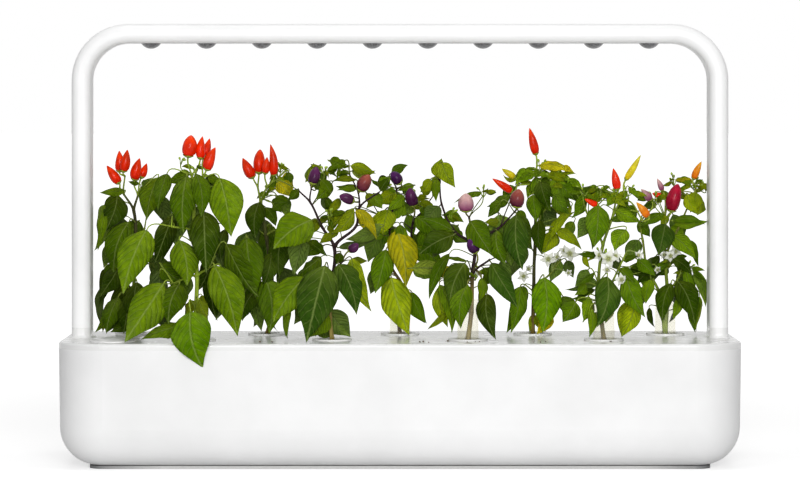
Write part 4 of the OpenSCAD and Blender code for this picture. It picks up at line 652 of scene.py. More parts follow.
def small_leaves(n):
    """Foot x and z, tip x and z, width, tint and depth of plant n's smaller leaves, in mm."""
    leaves = []
    for plant, crop, rows in LEAF_READINGS:
        if plant != n:
            continue
        for right, down, tip_right, tip_down, width, tint, depth in rows:
            tip_x, tip_z = read_place(n, crop, tip_right, tip_down)
            foot = read_place(n, crop, right, down)
            wide = read_length(n, crop, width)
            leaves.append((*foot, tip_x, max(tip_z, LOWEST_TIP), wide, tint, depth))
    return leaves + LEAVES_IN_GAPS.get(n, [])


def sprigs(n):
    """Place, number of leaves and reach of plant n's sprigs, in mm."""
    found = []
    for plant, crop, right, down, depth, count, reach in SPRIG_READINGS:
        if plant == n:
            x, z = read_place(n, crop, right, down)
            found.append((x, depth, z, count, read_length(n, crop, reach)))
    return found


class Form:
    """One piece in the making: points with a tint and a place on the surface, and faces."""

    def __init__(self):
        self.points, self.tints, self.marks, self.faces, self.kinds = [], [], [], [], []

    def point(self, place, tint, mark=(0.0, 0.0)):
        self.points.append(Vector(place))
        self.tints.append(tint)
        self.marks.append(mark)
        return len(self.points) - 1

    def face(self, kind, *corners):
        self.faces.append(corners)
        self.kinds.append(kind)

    def band(self, kind, ring, other):
        """Faces between two rings of the same number of points."""
        for a, b in zip(range(len(ring)), [*range(1, len(ring)), 0]):
            self.face(kind, ring[a], ring[b], other[b], other[a])

    def loft(self, kind, rings):
        """Skin over rings of the same number of points, closed at both ends."""
        for ring, other in zip(rings, rings[1:]):
            self.band(kind, ring, other)
        self.face(kind, *reversed(rings[0]))
        self.face(kind, *rings[-1])

    def sheet(self, upper_rows, lower_rows, triangles=False):
        """Thin closed sheet between two faces that are rows of the same number of points."""
        last = len(upper_rows[0]) - 1
        for a, b, c, e in zip(upper_rows, upper_rows[1:], lower_rows, lower_rows[1:]):
            for i in range(last):
                if triangles:
                    self.face(0, a[i], a[i + 1], b[i + 1])
                    self.face(0, a[i], b[i + 1], b[i])
                    self.face(0, c[i + 1], c[i], e[i + 1])
                    self.face(0, c[i], e[i], e[i + 1])
                else:
                    self.face(0, a[i], a[i + 1], b[i + 1], b[i])
                    self.face(0, c[i + 1], c[i], e[i], e[i + 1])
            self.face(0, a[0], b[0], e[0], c[0])
            self.face(0, b[last], a[last], c[last], e[last])
        self.face(0, *upper_rows[0][::-1], *lower_rows[0])
        self.face(0, *upper_rows[-1], *lower_rows[-1][::-1])

    def tube(self, kind, middles, radii, tints, sides=8):
        """Round tube through the middles, closed at both ends."""
        side = (middles[1] - middles[0]).orthogonal()
        rings, length = [], 0.0
        for k, middle in enumerate(middles):
            before, after = middles[max(k - 1, 0)], middles[min(k + 1, len(middles) - 1)]
            ahead = (after - before).normalized()
            side = (side - side.dot(ahead) * ahead).normalized()
            other = ahead.cross(side)
            length += (middle - before).length
            ring = []
            for a, (_, out) in enumerate(around(sides, side, other)):
                ring.append(self.point(middle + radii[k] * out, tints[k], (a / sides, length / MM)))
            rings.append(ring)
        self.loft(kind, rings)

    def make(self, name, body, slot, materials, *replaced):
        """The finished piece, riding on its body, in place of the replaced nodes; slot is not used."""
        mesh = bpy.data.meshes.new(name)
        mesh.from_pydata([tuple(p) for p in self.points], [], self.faces)
        for material in materials:
            mesh.materials.append(material)
        tint = mesh.color_attributes.new("tint", "FLOAT_COLOR", "POINT")
        tint.data.foreach_set("color", [v for t in self.tints for v in (*t, 1.0)])
        layer = mesh.uv_layers.new(name="place")
        corners = [self.marks[i] for face in self.faces for i in face]
        layer.data.foreach_set("uv", [v for mark in corners for v in mark])
        mesh.polygons.foreach_set("material_index", self.kinds)
        mesh.polygons.foreach_set("use_smooth", [True] * len(self.faces))
        piece = bpy.data.objects.new(name, mesh)
        bpy.context.scene.collection.objects.link(piece)
        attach(piece, body)
        if replaced:
            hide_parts(*replaced)


def around(sides, side, other):
    """Turn and outward direction of each of so many points round a middle."""
    for a in range(sides):
        turn = math.tau * a / sides
        yield turn, math.cos(turn) * side + math.sin(turn) * other


def tone(rgb, light=1.0, towards=None, share=0.0):
    """A tint made lighter or darker and moved a share towards another."""
    if towards:
        rgb = tuple(a + share * (b - a) for a, b in zip(rgb, towards))
    return tuple(max(0.0, light * c) for c in rgb)


def curve(start, first, second, end, steps):
    """Points on the curve from start to end that the two handles pull."""
    points = []
    for k in range(steps + 1):
        t = k / steps
        u = 1 - t
        points.append(u**3 * start + 3 * u * u * t * first + 3 * u * t * t * second + t**3 * end)
    return points


def square_to(line, v):
    """The part of v that stands square to a line, as a unit."""
    return (v - v.dot(line) * line).normalized()


# ---------------------------------------------------------------- materials of the plants
def leaf_material():
    """Blade: side veins that bow towards the tip, a net between them, uneven green, painted shade in the
    grooves, painted gloss patches, light through.
    """
    material, t = new_material("leaf")
    place = t.blade_place()
    split = t.add("ShaderNodeSeparateXYZ", {0: place})
    across, along = split.outputs[0], split.outputs[1]
    wander = t.stretch(place, (9.0, 5.0, 1.0))
    shake = t.math("MULTIPLY_ADD", t.noise(1.0, 2, wander), 0.09, -0.045)
    out = t.math("ABSOLUTE", t.math("ADD", across, t.math("MULTIPLY", shake, 0.15)))
    bow = t.math("MULTIPLY", out, t.math("MULTIPLY_ADD", out, 0.75, 0.5))
    side = t.math("MULTIPLY", t.math("GREATER_THAN", across, 0.0), 0.42)
    phase = t.math("MULTIPLY_ADD", t.math("SUBTRACT", t.math("ADD", along, shake), bow), 7.0, side)
    off = t.math("ABSOLUTE", t.math("SUBTRACT", t.math("FRACT", phase), 0.5))
    vein = t.ramp(off, (0.0, 1.0), (0.05, 0.3), (0.11, 0.0))
    quilt = t.ramp(off, (0.0, 0.0), (0.2, 0.62), (0.5, 1.0))
    midrib = t.ramp(out, (0.0, 1.0), (0.012, 0.8), (0.034, 0.0))
    lines = t.math("MAXIMUM", t.math("MULTIPLY", vein, 0.5), midrib)
    spread = t.stretch(place, (1.0, 2.1, 1.0))
    net = t.add(
        "ShaderNodeTexVoronoi",
        {"Vector": spread, "Scale": 17.0},
        feature="DISTANCE_TO_EDGE",
    ).outputs["Distance"]
    cells = t.ramp(net, (0.0, 0.0), (0.14, 1.0))

    own = t.own_tint()
    patches = t.ramp(t.noise(110, 3), (0.32, 0.0), (0.7, 1.0))
    darker = t.tinted(own, (0.66, 0.72, 0.6))
    lighter = t.tinted(own, (1.3, 1.22, 1.0))
    shade = t.mix(patches, darker, lighter)
    shade = t.mix(t.math("MULTIPLY", t.math("SUBTRACT", 1.0, cells), 0.22), shade, lighter)
    # painted shade: the colour darkens in the grooves beside the veins, where the quilted blade lies in shade
    painted_groove_shade = t.tinted(shade, (0.74, 0.76, 0.7))
    shade = t.mix(t.math("MULTIPLY_ADD", quilt, 0.75, 0.25), painted_groove_shade, shade)
    # painted highlight: pale grey-green patches in the colour stand in for gloss on the blade
    painted_sheen = t.math("MULTIPLY", t.ramp(t.noise(42, 2), (0.5, 0.0), (0.72, 1.0)), 0.3)
    shade = t.mix(painted_sheen, shade, t.mix(0.5, lighter, srgb(164, 190, 84)))
    pale = t.mix(0.5, own, srgb(196, 218, 120))
    shade = t.mix(t.math("MULTIPLY", lines, 0.8), shade, pale)

    height = t.math("MULTIPLY_ADD", quilt, 0.8, t.math("MULTIPLY", cells, 0.28))
    height = t.math("SUBTRACT", height, t.math("MULTIPLY", midrib, 0.9))
    inputs = {
        "Base Color": shade,
        "Roughness": t.math("MULTIPLY_ADD", patches, 0.12, 0.42),
        "Specular IOR Level": 0.02,
        "Normal": t.bump(height, 1.0, 0.0016),
    }
    blade = t.principled(inputs)
    through = t.add("ShaderNodeBsdfTranslucent", {"Color": t.mix(0.35, shade, srgb(196, 214, 30))})
    t.output(t.add("ShaderNodeMixShader", {0: 0.16, 1: blade, 2: through}))
    return material


def stem_material():
    """Stems and stalks: own tint with long streaks."""
    material, t = new_material("stem")
    place = t.object_place()
    long = t.stretch(place, (900.0, 900.0, 70.0))
    streaks = t.noise(1.0, 3, long)
    own = t.own_tint()
    shade = t.mix(
        t.ramp(streaks, (0.36, 0.0), (0.64, 1.0)),
        t.tinted(own, (0.6, 0.56, 0.5)),
        t.tinted(own, (1.25, 1.22, 1.15)),
    )
    inputs = {
        "Base Color": shade,
        "Roughness": t.math("MULTIPLY_ADD", streaks, 0.2, 0.45),
        "Specular IOR Level": 0.1,
        "Normal": t.bump(streaks, 0.4, 0.0004),
    }
    t.surface(inputs)
    return material


def pepper_material():
    """Shining skin over a tint that runs from shoulder to tip."""
    material, t = new_material("pepper")
    own = t.own_tint()
    cloud = t.ramp(t.noise(170, 2), (0.35, 0.0), (0.7, 1.0))
    shade = t.mix(
        cloud,
        t.tinted(own, (0.78, 0.74, 0.78)),
        t.tinted(own, (1.1, 1.15, 1.1)),
    )
    inputs = {
        "Base Color": shade,
        "Roughness": t.math("MULTIPLY_ADD", cloud, 0.1, 0.2),
        "Specular IOR Level": 0.07,
        "Coat Weight": 0.12,
        "Coat Roughness": 0.1,
        "Normal": t.bump(t.noise(300, 2), 0.15, 0.0006),
    }
    t.surface(inputs)
    return material


def petal_material():
    """White petals with faint lengthwise lines, and what stands in the middle of the flower."""
    material, t = new_material("petal")
    own = t.own_tint()
    place = t.blade_place()
    lines = t.stretch(place, (16.0, 1.0, 1.0))
    streaks = t.noise(1.0, 2, lines)
    shade = t.mix(t.math("MULTIPLY", streaks, 0.5), own, t.tinted(own, (0.86, 0.9, 0.78)))
    inputs = {
        "Base Color": shade,
        "Roughness": t.math("MULTIPLY_ADD", streaks, 0.2, 0.45),
        "Normal": t.bump(streaks, 0.3, 0.0003),
    }
    petal = t.principled(inputs)
    through = t.add("ShaderNodeBsdfTranslucent", {"Color": shade})
    t.output(t.add("ShaderNodeMixShader", {0: 0.25, 1: petal, 2: through}))
    return material


leaf_look = leaf_material()
stem_look = stem_material()
pepper_look = pepper_material()
petal_look = petal_material()


# ---------------------------------------------------------------- leaves, stems and fruit
TONES = [
    srgb(44, 68, 2), srgb(74, 104, 6), srgb(108, 140, 14), srgb(150, 170, 18), srgb(216, 206, 30),
    srgb(110, 158, 2), srgb(58, 92, 24), srgb(224, 216, 28)
]
# Rows of points across a blade and steps along it, for large and for small leaves
LARGE = [-1, -0.8, -0.55, -0.28, -0.08, 0, 0.08, 0.28, 0.55, 0.8, 1], 15
SMALL = [-1, -0.5, 0, 0.5, 1], 8
BLADE_THICKNESS = 0.32 * MM
GROOVE_DEPTH = 0.25 * MM
# Blades are a little broader than the bare ones of the CAD plants
WIDER = 1.12
# Wood is slimmer than the closed solids of the CAD plants
SLIMMER = 0.8
# How light each plant's leaves are
LIGHT = {1: 1.4, 2: 1.4, 3: 2.0, 4: 1.35, 5: 2.5, 6: 1.75, 7: 2.5, 8: 2.4, 9: 2.5}
# Share of that light that each tone takes; the pale ones are light by themselves
TAKES = [0.9, 1, 0.9, 0.55, 0.5, 0.3, 0.3, 0]


def lightness(n, tint):
    return 1 + (LIGHT[n] - 1) * TAKES[tint]


def half_width(s, power):
    """Share of the half width at a share of the way along an egg-shaped, drawn-out blade."""
    return math.sin(math.pi * s**power) * (1 - 0.25 * s**6)


def blade(form, rng, start, tip, width, turn, colour, flip, rows=LARGE):
    """Thin closed blade from start to tip; flip turns its upper face to the back."""
    spread, steps = rows
    reach = tip - start
    length = reach.length
    along = reach.normalized()
    level = along.cross(Vector((0, -1, 0))).normalized()
    face = level.cross(along)
    lean = math.radians(-turn if along.x < 0 else turn)
    across = math.cos(lean) * level + math.sin(lean) * face
    face = across.cross(along)
    if flip:
        across, face = -across, -face
    power = rng.uniform(0.6, 0.74)
    arch = rng.uniform(0.06, 0.13) * length
    fold = rng.uniform(0.12, 0.55)
    sway = rng.uniform(-0.11, 0.11) * length
    curl = rng.uniform(-0.06, 0.2) * length
    twist = rng.uniform(-0.55, 0.55)
    waves = rng.uniform(1.6, 3.2)
    phases = rng.uniform(0, math.tau), rng.uniform(0, math.tau)
    wave = rng.uniform(0.07, 0.22)
    under = tone(colour, 1.15, srgb(150, 170, 110), 0.35)
    upper_rows, lower_rows = [], []
    for k in range(steps + 1):
        x = k / steps
        s = 0.4 * x + 0.6 * (0.5 - 0.5 * math.cos(math.pi * x))
        half = 0.5 * width * max(half_width(s, power), 0.035 * (1 - s))
        bulge = 4 * s * (1 - s)
        droop = curl * max(0.0, (s - 0.55) / 0.45) ** 2
        middle = start + s * reach + (arch * bulge - droop) * face + sway * bulge * across
        turned = twist * (s - 0.3)
        width_line = math.cos(turned) * across + math.sin(turned) * face
        up_line = width_line.cross(along)
        upper, lower = [], []
        for d in spread:
            edge = abs(d)
            ripple = wave * half * edge**2 * math.sin(math.tau * waves * s + phases[d > 0])
            rise = ripple - fold * half * edge**1.25
            rise -= GROOVE_DEPTH * math.exp(-((d / 0.1) ** 2))
            place = middle + d * half * (1 - 0.25 * fold * edge) * width_line + rise * up_line
            light, share = 1 - 0.14 * edge * rng.random(), 0.12 * (1 - s) ** 3
            shade = tone(colour, light, srgb(190, 190, 70), share)
            mark = (d * half / width, s)
            upper.append(form.point(place, shade, mark))
            thin = BLADE_THICKNESS * (1 - 0.6 * edge)
            lower.append(form.point(place - thin * up_line, under, mark))
        upper_rows.append(upper)
        lower_rows.append(lower)
    form.sheet(upper_rows, lower_rows, triangles=True)


def stem_tint(n, z, radius):
    """Colour of plant n's wood z millimetres above the lid; thin twigs are greener."""
    green, brown, dark = srgb(112, 132, 44), srgb(124, 100, 56), srgb(46, 32, 34)
    lime, tan = srgb(150, 176, 56), srgb(152, 138, 78)
    plans = {
        1: [(0, tan), (40, green), (90, dark), (120, dark), (150, green)],
        2: [(0, lime), (160, lime)],
        3: [(0, brown), (30, dark), (90, dark), (150, green)],
        4: [(0, tan), (22, tan), (40, dark), (160, dark)],
        5: [(0, brown), (50, brown), (90, dark), (160, dark)],
        6: [(0, tan), (38, tan), (62, dark), (160, dark)],
        7: [(0, brown), (40, dark), (90, dark), (150, lime)],
        8: [(0, brown), (50, green), (160, green)],
        9: [(0, lime), (60, green), (160, brown)],
    }
    stops = plans[n]
    colour = stops[-1][1]
    for (low, a), (high, b) in zip(stops, stops[1:]):
        if z <= high:
            colour = tone(a, 1, b, min(max((z - low) / (high - low), 0), 1))
            break
    if n in (4, 5, 6):
        return colour
    return tone(colour, 1, lime, 0.5 if radius < 1.2 else 0.1)


def branch_ends(n):
    """Plant n's branches, and where the root and each of them ends, with the radii there."""
    rows = BRANCHES[n - 1]
    ends = [Vector((0, 0, SOIL_OVER_LID))]
    ends += [Vector(row[1:4]) for row in rows]
    radii = [rows[0][4] + 0.4] + [row[4] for row in rows]
    return rows, ends, radii


def grow_stems(form, n):
    """Curved, tapering branches; returns the points along each, in metres from the pod's middle."""
    rows, ends, radii = branch_ends(n)
    courses = {}
    for k, row in enumerate(rows, 1):
        parent = row[0]
        start, end = ends[parent], ends[k]
        own = end - start
        before = own
        if parent:
            before = start - ends[rows[parent - 1][0]]
        following = [ends[j] - end for j, other in enumerate(rows, 1) if other[0] == k]
        after = following[0] if following else own
        entry = (0.55 * own.normalized() + 0.45 * before.normalized()).normalized()
        leave = (0.6 * own.normalized() + 0.4 * after.normalized()).normalized()
        reach = own.length
        points = curve(start, start + 0.36 * reach * entry, end - 0.36 * reach * leave, end, 8)
        thin = radii[k]
        thick = min(radii[parent], 1.35 * thin) if parent else radii[parent]
        widths = []
        for j in range(len(points)):
            share = j / (len(points) - 1)
            foot, head = math.exp(-((share / 0.1) ** 2)), math.exp(-(((1 - share) / 0.1) ** 2))
            knot = 0.22 * foot + 0.18 * head
            widths.append(SLIMMER * (thick + share * (thin - thick)) * (1 + knot) * MM)
        tints = [stem_tint(n, p.z, radii[k]) for p in points]
        sides = 10 if radii[k] > 1.3 else 8
        metres = [p * MM for p in points]
        form.tube(1, metres, widths, tints, sides)
        courses[k] = metres
    return courses


def stalk(form, places, start, along, radius, tints, lift=0.3):
    """Curved stalk from the nearest of the places on the wood to a blade or fruit."""
    root = min(places, key=lambda p: (p - start).length + 0.6 * max(0.0, p.z - start.z))
    span = start - root
    reach = span.length
    if reach < 0.6 * MM:
        root = root - along * 2 * MM
        span, reach = start - root, 2 * MM
    outward = (span.normalized() + Vector((0, 0, lift))).normalized()
    points = curve(root, root + 0.4 * reach * outward, start - 0.42 * reach * along, start, 7)
    radii = [radius * (1.35 - 0.35 * min(1, 5 * k / 7)) for k in range(8)]
    shades = [tone(tints[0], 1, tints[1], k / 7) for k in range(8)]
    form.tube(1, points, radii, shades, 6)


def grow_leaves(form, n, courses):
    rng = random.Random(500 + n)
    for row in LEAVES[n - 1]:
        start, tip = Vector(row[1:4]) * MM, Vector(row[4:7]) * MM
        width, turn, colour = WIDER * row[7] * MM, row[8], TONES[row[9]]
        along = (tip - start).normalized()
        flip = (start.y + tip.y) / 2 > 7 * MM
        base = tone(colour, lightness(n, row[9]) * rng.uniform(0.82, 1.2))
        blade(form, rng, start, tip, width, turn, base, flip)
        wood = stem_tint(n, start.z / MM, 1)
        petiole = tone(wood, 1.1, srgb(150, 170, 80), 0.45)
        stalk(form, courses[row[0]][2:], start, along, 0.62 * MM, (wood, petiole))


def grow_fill(form, n, courses):
    """The smaller leaves, and the sprigs of young leaves and buds."""
    rng = random.Random(2100 + n)
    places = [p for course in courses.values() for p in course[1:]]
    for x, z, tip_x, tip_z, width, tint, depth in small_leaves(n):
        start = Vector((x, depth + rng.uniform(-2, 2), z)) * MM
        tip = Vector((tip_x, depth - rng.uniform(0, 7), tip_z)) * MM
        along = (tip - start).normalized()
        colour = tone(TONES[tint], lightness(n, tint) * rng.uniform(0.82, 1.2))
        blade(form, rng, start, tip, width * MM, rng.uniform(-35, 35), colour, depth > 7)
        wood = tone(stem_tint(n, z, 1), 1, srgb(110, 134, 44), 0.6)
        petiole = tone(wood, 1.1, srgb(150, 170, 80), 0.5)
        stalk(form, places, start, along, 0.5 * MM, (wood, petiole))
    for sprig in sprigs(n):
        grow_sprig(form, rng, n, places, *sprig)


def grow_sprig(form, rng, n, places, x, y, z, count, reach):
    """Young leaves and three buds that spread from one foot."""
    centre = Vector((x, y, z)) * MM
    foot = centre - Vector((0, 0, 4)) * MM
    lime = srgb(140, 166, 62)
    stalk(form, places, foot, Vector((0, 0, 1)), 0.55 * MM, (stem_tint(n, z, 1), lime))
    first = rng.uniform(0, math.tau)
    for k in range(count):
        turn = first + 2.4 * k
        rise = rng.uniform(-0.5, 0.6)
        out = Vector((math.cos(turn), 0.6 * math.sin(turn) - 0.25, rise)).normalized()
        start = centre + rng.uniform(0.1, 0.45) * reach * MM * out
        length = reach * rng.uniform(0.8, 1.5) * MM
        tip = start + length * (out + Vector((0, 0, rng.uniform(-0.5, 0.1))))
        tint = rng.choice((1, 2, 2, 3, 3))
        colour = tone(TONES[tint], lightness(n, tint) * rng.uniform(0.8, 1.2))
        wide = rng.uniform(0.36, 0.52) * length
        blade(form, rng, start, tip, wide, rng.uniform(-50, 50), colour, False, SMALL)
        course = [foot, 0.5 * (foot + start) + 0.6 * MM * out, start]
        form.tube(1, course, [0.45 * MM] * 3, [lime] * 3, 6)
    for _ in range(3):
        out = Vector((rng.uniform(-1, 1), rng.uniform(-0.8, 0.3), rng.uniform(0.2, 1.2))).normalized()
        bud = centre + rng.uniform(0.35, 0.7) * reach * MM * out
        course = [foot, bud - 1.2 * MM * out, bud, bud + 1.2 * MM * out, bud + 2.4 * MM * out]
        radii = [r * MM for r in (0.4, 0.4, 0.9, 1.15, 0.5)]
        form.tube(1, course, radii, [lime, lime, lime, tone(lime, 1.3), tone(lime, 1.5)], 8)


FRUIT_SIDES = 20
# How far along a fruit, and the share of its radius there; pointed, then plump
SHAPES = [
    [(0, 0.5), (0.05, 0.76), (0.14, 0.94), (0.28, 1), (0.45, 0.93), (0.6, 0.8), (0.75, 0.58),
     (0.87, 0.36), (0.95, 0.18), (0.99, 0.07)],
    [(0, 0.42), (0.04, 0.66), (0.12, 0.87), (0.26, 1), (0.45, 1), (0.62, 0.92), (0.77, 0.74),
     (0.89, 0.49), (0.96, 0.27), (0.995, 0.1)],
]
# Colours of a fruit at its shoulder and at its tip
FRUIT = [
    (srgb(236, 34, 0), srgb(244, 64, 4)), (srgb(50, 14, 54), srgb(84, 28, 96)),
    (srgb(60, 18, 54), srgb(98, 38, 90)), (srgb(88, 20, 50), srgb(176, 90, 70)),
    (srgb(142, 58, 108), srgb(244, 204, 192)), (srgb(236, 112, 10), srgb(246, 180, 40)),
    (srgb(222, 200, 24), srgb(212, 206, 50)), (srgb(150, 12, 40), srgb(196, 26, 60)),
]


def pepper(form, rng, row):
    """One fruit: bent, faintly lobed body, and the five-toothed cap that it hangs from."""
    base, tip = Vector(row[1:4]) * MM, Vector(row[4:7]) * MM
    radius = 0.5 * row[7] * MM
    reach = tip - base
    along = reach.normalized()
    side = square_to(along, Vector((rng.uniform(-1, 1), rng.uniform(-1, 0.4), rng.uniform(-0.5, 0.5))))
    other = along.cross(side)
    bend = rng.uniform(0.01, 0.05) * reach.length
    lobes, slope = rng.uniform(0.015, 0.05), rng.uniform(0, math.tau)
    skin, end_skin = FRUIT[row[9]]
    light = rng.uniform(0.9, 1.08)
    rings = []
    for s, r in SHAPES[row[8]]:
        middle = base + s * reach + bend * math.sin(math.pi * s) * side
        tint = tone(skin, light, end_skin, s**1.5)
        ring = []
        for turn, out in around(FRUIT_SIDES, side, other):
            wide = radius * r * (1 + lobes * math.cos(3 * turn + slope) * (1 - s))
            ring.append(form.point(middle + wide * out, tint))
        rings.append(ring)
    for a, b in zip(rings, rings[1:]):
        form.band(0, a, b)
    form.face(0, *reversed(rings[0]))
    end = form.point(base + reach, tone(end_skin, 0.6))
    for a in range(FRUIT_SIDES):
        form.face(0, rings[-1][a], rings[-1][(a + 1) % FRUIT_SIDES], end)
    cap(form, base, along, side, radius)


# Rings of a cap: lift in mm, share of the fruit's radius, height of the teeth in mm
CAP_RINGS = [(-1.5, 0.3, 0), (-1.0, 0.44, 0), (-0.35, 0.62, 0), (0.4, 0.8, 0.5), (0.15, 0.66, 0.4)]


def cap(form, base, along, side, radius):
    """Green cap on a fruit's shoulder, with five short teeth."""
    other = along.cross(side)
    green, edge = srgb(140, 160, 56), srgb(176, 186, 84)
    rings = []
    for lift, wide, tooth in CAP_RINGS:
        ring = []
        for turn, out in around(FRUIT_SIDES, side, other):
            point = tooth * (0.5 + 0.5 * math.cos(5 * turn))
            place = base + lift * MM * along + wide * radius * out + point * MM * along
            ring.append(form.point(place, tone(green, 1, edge, point)))
        rings.append(ring)
    form.loft(1, rings)


def grow_peppers(form, fruit, n, courses):
    rng = random.Random(900 + n)
    for row in PEPPERS[n - 1]:
        pepper(fruit, rng, row)
        base, tip = Vector(row[1:4]) * MM, Vector(row[4:7]) * MM
        along = (tip - base).normalized()
        wood = stem_tint(n, base.z / MM, 1)
        dark = n in (4, 5, 6)
        green = srgb(126, 132, 56) if dark else srgb(164, 190, 70)
        foot = base - 1.2 * MM * along
        stalk(form, courses[row[0]][2:], foot, along, 0.85 * MM, (wood, green), 0.0)


# ---------------------------------------------------------------- flowers
# Place from the pod's middle at the lid's top and diameter in mm, and turn to the side in degrees
FLOWERS = {
    7: [(14, -14, 71, 16, 15), (22, -12, 73, 12, 60), (34, -14, 76, 18, -15), (29, -10, 79, 12, 40),
        (-9, -14, 55, 13, 10), (-4, -12, 62, 9, -30), (33, -10, 58, 8, 0)],
    8: [(3, -16, 75, 19, -10), (-5, -12, 78, 13, 50), (10, -13, 77, 13, -40), (2, -13, 65, 11, 20),
        (15, -16, 56, 14, 25), (31, -10, 78, 10, -20)],
    9: [(4, -12, 74, 13, 15), (9, -10, 78, 14, -30), (-2, -10, 75, 9, 50), (21, -12, 59, 9, -20),
        (-8, -12, 61, 9, 30), (-25, -10, 74, 9, -40)],
}


def flower(form, rng, centre, size, turn, courses):
    """Five white petals bent back, a ring of anthers and the stalk behind it."""
    ahead = Vector((math.sin(math.radians(turn)), -1, rng.uniform(-0.5, 0.1))).normalized()
    side = square_to(ahead, Vector((1, 0, 0.2)))
    up = ahead.cross(side)
    white, lime = srgb(250, 250, 244), srgb(196, 204, 120)
    first = rng.uniform(0, math.tau)
    for k in range(5):
        angle = first + math.tau * k / 5 + rng.uniform(-0.12, 0.12)
        out = math.cos(angle) * side + math.sin(angle) * up
        wide = ahead.cross(out)
        back = rng.uniform(0.02, 0.3)
        reach = 0.5 * size * rng.uniform(0.9, 1.05)
        upper_rows, lower_rows = [], []
        for j in range(7):
            s = j / 6
            half = reach * 0.34 * math.sin(math.pi * (0.12 + 0.85 * s) ** 0.7) * (1 - 0.4 * s**3)
            middle = centre + reach * (0.1 + 0.9 * s) * out - reach * back * s * s * ahead
            tint = tone(lime, 1, white, min(1.0, s * 3.5))
            upper, lower = [], []
            for d in (-1, -0.5, 0, 0.5, 1):
                place = middle + d * half * wide + 0.12 * half * (d * d) * ahead
                upper.append(form.point(place, tint, (0.5 + 0.5 * d, s)))
                lower.append(form.point(place - 0.25 * MM * ahead, tint, (0.5 + 0.5 * d, s)))
            upper_rows.append(upper)
            lower_rows.append(lower)
        form.sheet(upper_rows, lower_rows)
    green = srgb(150, 168, 84)
    course = [centre - 0.8 * MM * ahead, centre + 0.3 * MM * ahead, centre + 1.6 * MM * ahead]
    form.tube(0, course, [0.9 * MM, 1.0 * MM, 0.5 * MM], [green, lime, lime])
    for k in range(5):
        angle = first + math.tau * (k + 0.5) / 5
        out = math.cos(angle) * side + math.sin(angle) * up
        foot = centre + 0.9 * MM * out
        tint = srgb(176, 172, 150)
        course = [foot, foot + 1.3 * MM * (ahead + 0.3 * out), foot + 2.4 * MM * (ahead + 0.2 * out)]
        form.tube(0, course, [0.2 * MM, 0.38 * MM, 0.2 * MM], [lime, tint, tint], 6)
    places = [p for course in courses.values() for p in course]
    root = min(places, key=lambda p: (p - centre).length)
    behind = centre - 0.8 * MM * ahead
    reach = (behind - root).length
    points = curve(root, root + 0.4 * reach * Vector((0, 0, 1)), behind - 0.35 * reach * ahead, behind, 7)
    form.tube(0, points, [0.5 * MM] * 7 + [0.75 * MM], [green] * 8, 6)


FRUIT_SLOTS = ["red", "red", "red", "purple", "purple", "plum", "red", "red", "plum"]
for n in PODS:
    body, place = f"pod_{n}", pod_place(n)
    green, fruit, bloom = Form(), Form(), Form()
    courses = grow_stems(green, n)
    grow_leaves(green, n, courses)
    grow_fill(green, n, courses)
    grow_peppers(green, fruit, n, courses)
    rng = random.Random(1300 + n)
    for x, y, z, size, turn in FLOWERS.get(n, ()):
        flower(bloom, rng, Vector((x, y, z)) * MM, size * MM, turn, courses)
    for form in (green, fruit, bloom):
        form.points = [p + place for p in form.points]
    green.make(f"leaves_{n}", body, "foliage", (leaf_look, stem_look), f"plant_{n}")
    slot = f"pepper_{FRUIT_SLOTS[n - 1]}"
    fruit.make(f"fruit_{n}", body, slot, (pepper_look, stem_look), f"peppers_{n}")
    if bloom.points:
        bloom.make(f"flowers_{n}", body, "cup_white", (petal_look,))


# ---------------------------------------------------------------- paper discs and crumbs
def paper_material():
    """Damp white paper with soft fibres and a little soil on it."""
    material, t = new_material("paper")
    fibres = t.noise(700, 5)
    stains = t.ramp(t.noise(190, 3), (0.56, 0.0), (0.74, 1.0))
    shade = t.mix(fibres, srgb(226, 226, 220), srgb(248, 248, 244))
    shade = t.mix(t.math("MULTIPLY", stains, 0.5), shade, srgb(150, 130, 104))
    inputs = {"Base Color": shade, "Roughness": 0.9, "Normal": t.bump(fibres, 0.4, 0.0004)}
    t.surface(inputs)
    return material


def crumb_material():
    """Grains of soil, each darker or paler."""
    material, t = new_material("crumbs")
    grains = t.noise(400, 3)
    shade = t.ramp(grains, (0.35, srgb(40, 28, 20)), (0.65, srgb(110, 88, 62)))
    inputs = {"Base Color": shade, "Roughness": 0.9, "Normal": t.bump(grains, 0.6, 0.0005)}
    t.surface(inputs)
    return material


def lump(form, rng, place, radius):
    """Small uneven grain."""
    rings = []
    for k in range(1, 4):
        slope = math.pi * k / 4
        ring = []
        for a in range(6):
            turn = math.tau * a / 6
            r = radius * rng.uniform(0.75, 1.2)
            flat = math.sin(slope)
            out = Vector((flat * math.cos(turn), flat * math.sin(turn), 0.8 * math.cos(slope)))
            ring.append(form.point(place + r * out, (0.1, 0.07, 0.05)))
        rings.append(ring)
    form.loft(0, rings[::-1])


paper_look, crumb_look = paper_material(), crumb_material()
# The pod without a paper disc; its sleeve stands right on the soil
BARE_POD = 5
for n in PODS:
    if n == BARE_POD:
        continue
    rng = random.Random(1700 + n)
    form, middle = Form(), pod_place(n) + Vector((0, 0, SOIL_OVER_LID * MM))
    hole = 7.5 if n == 9 else 4.6
    rows = []
    for r, z in ((hole, 0.15), (hole, 0.45), (9, 0.6), (11.6, 0.45), (11.6, 0.15)):
        ring = []
        for a in range(40):
            turn = math.tau * a / 40
            wide = (r + (rng.uniform(-0.5, 0.5) if r == hole else 0)) * MM
            rise = (z + rng.uniform(-0.08, 0.08)) * MM
            out = Vector((wide * math.cos(turn), wide * math.sin(turn), rise))
            ring.append(form.point(middle + out, (1, 1, 1)))
        rows.append(ring)
    for a, b in zip(rows, rows[1:] + rows[:1]):
        form.band(0, b, a)
    form.make(f"paper_{n}", f"pod_{n}", "cup_white", (paper_look,))

rng = random.Random(77)
crumbs = Form()
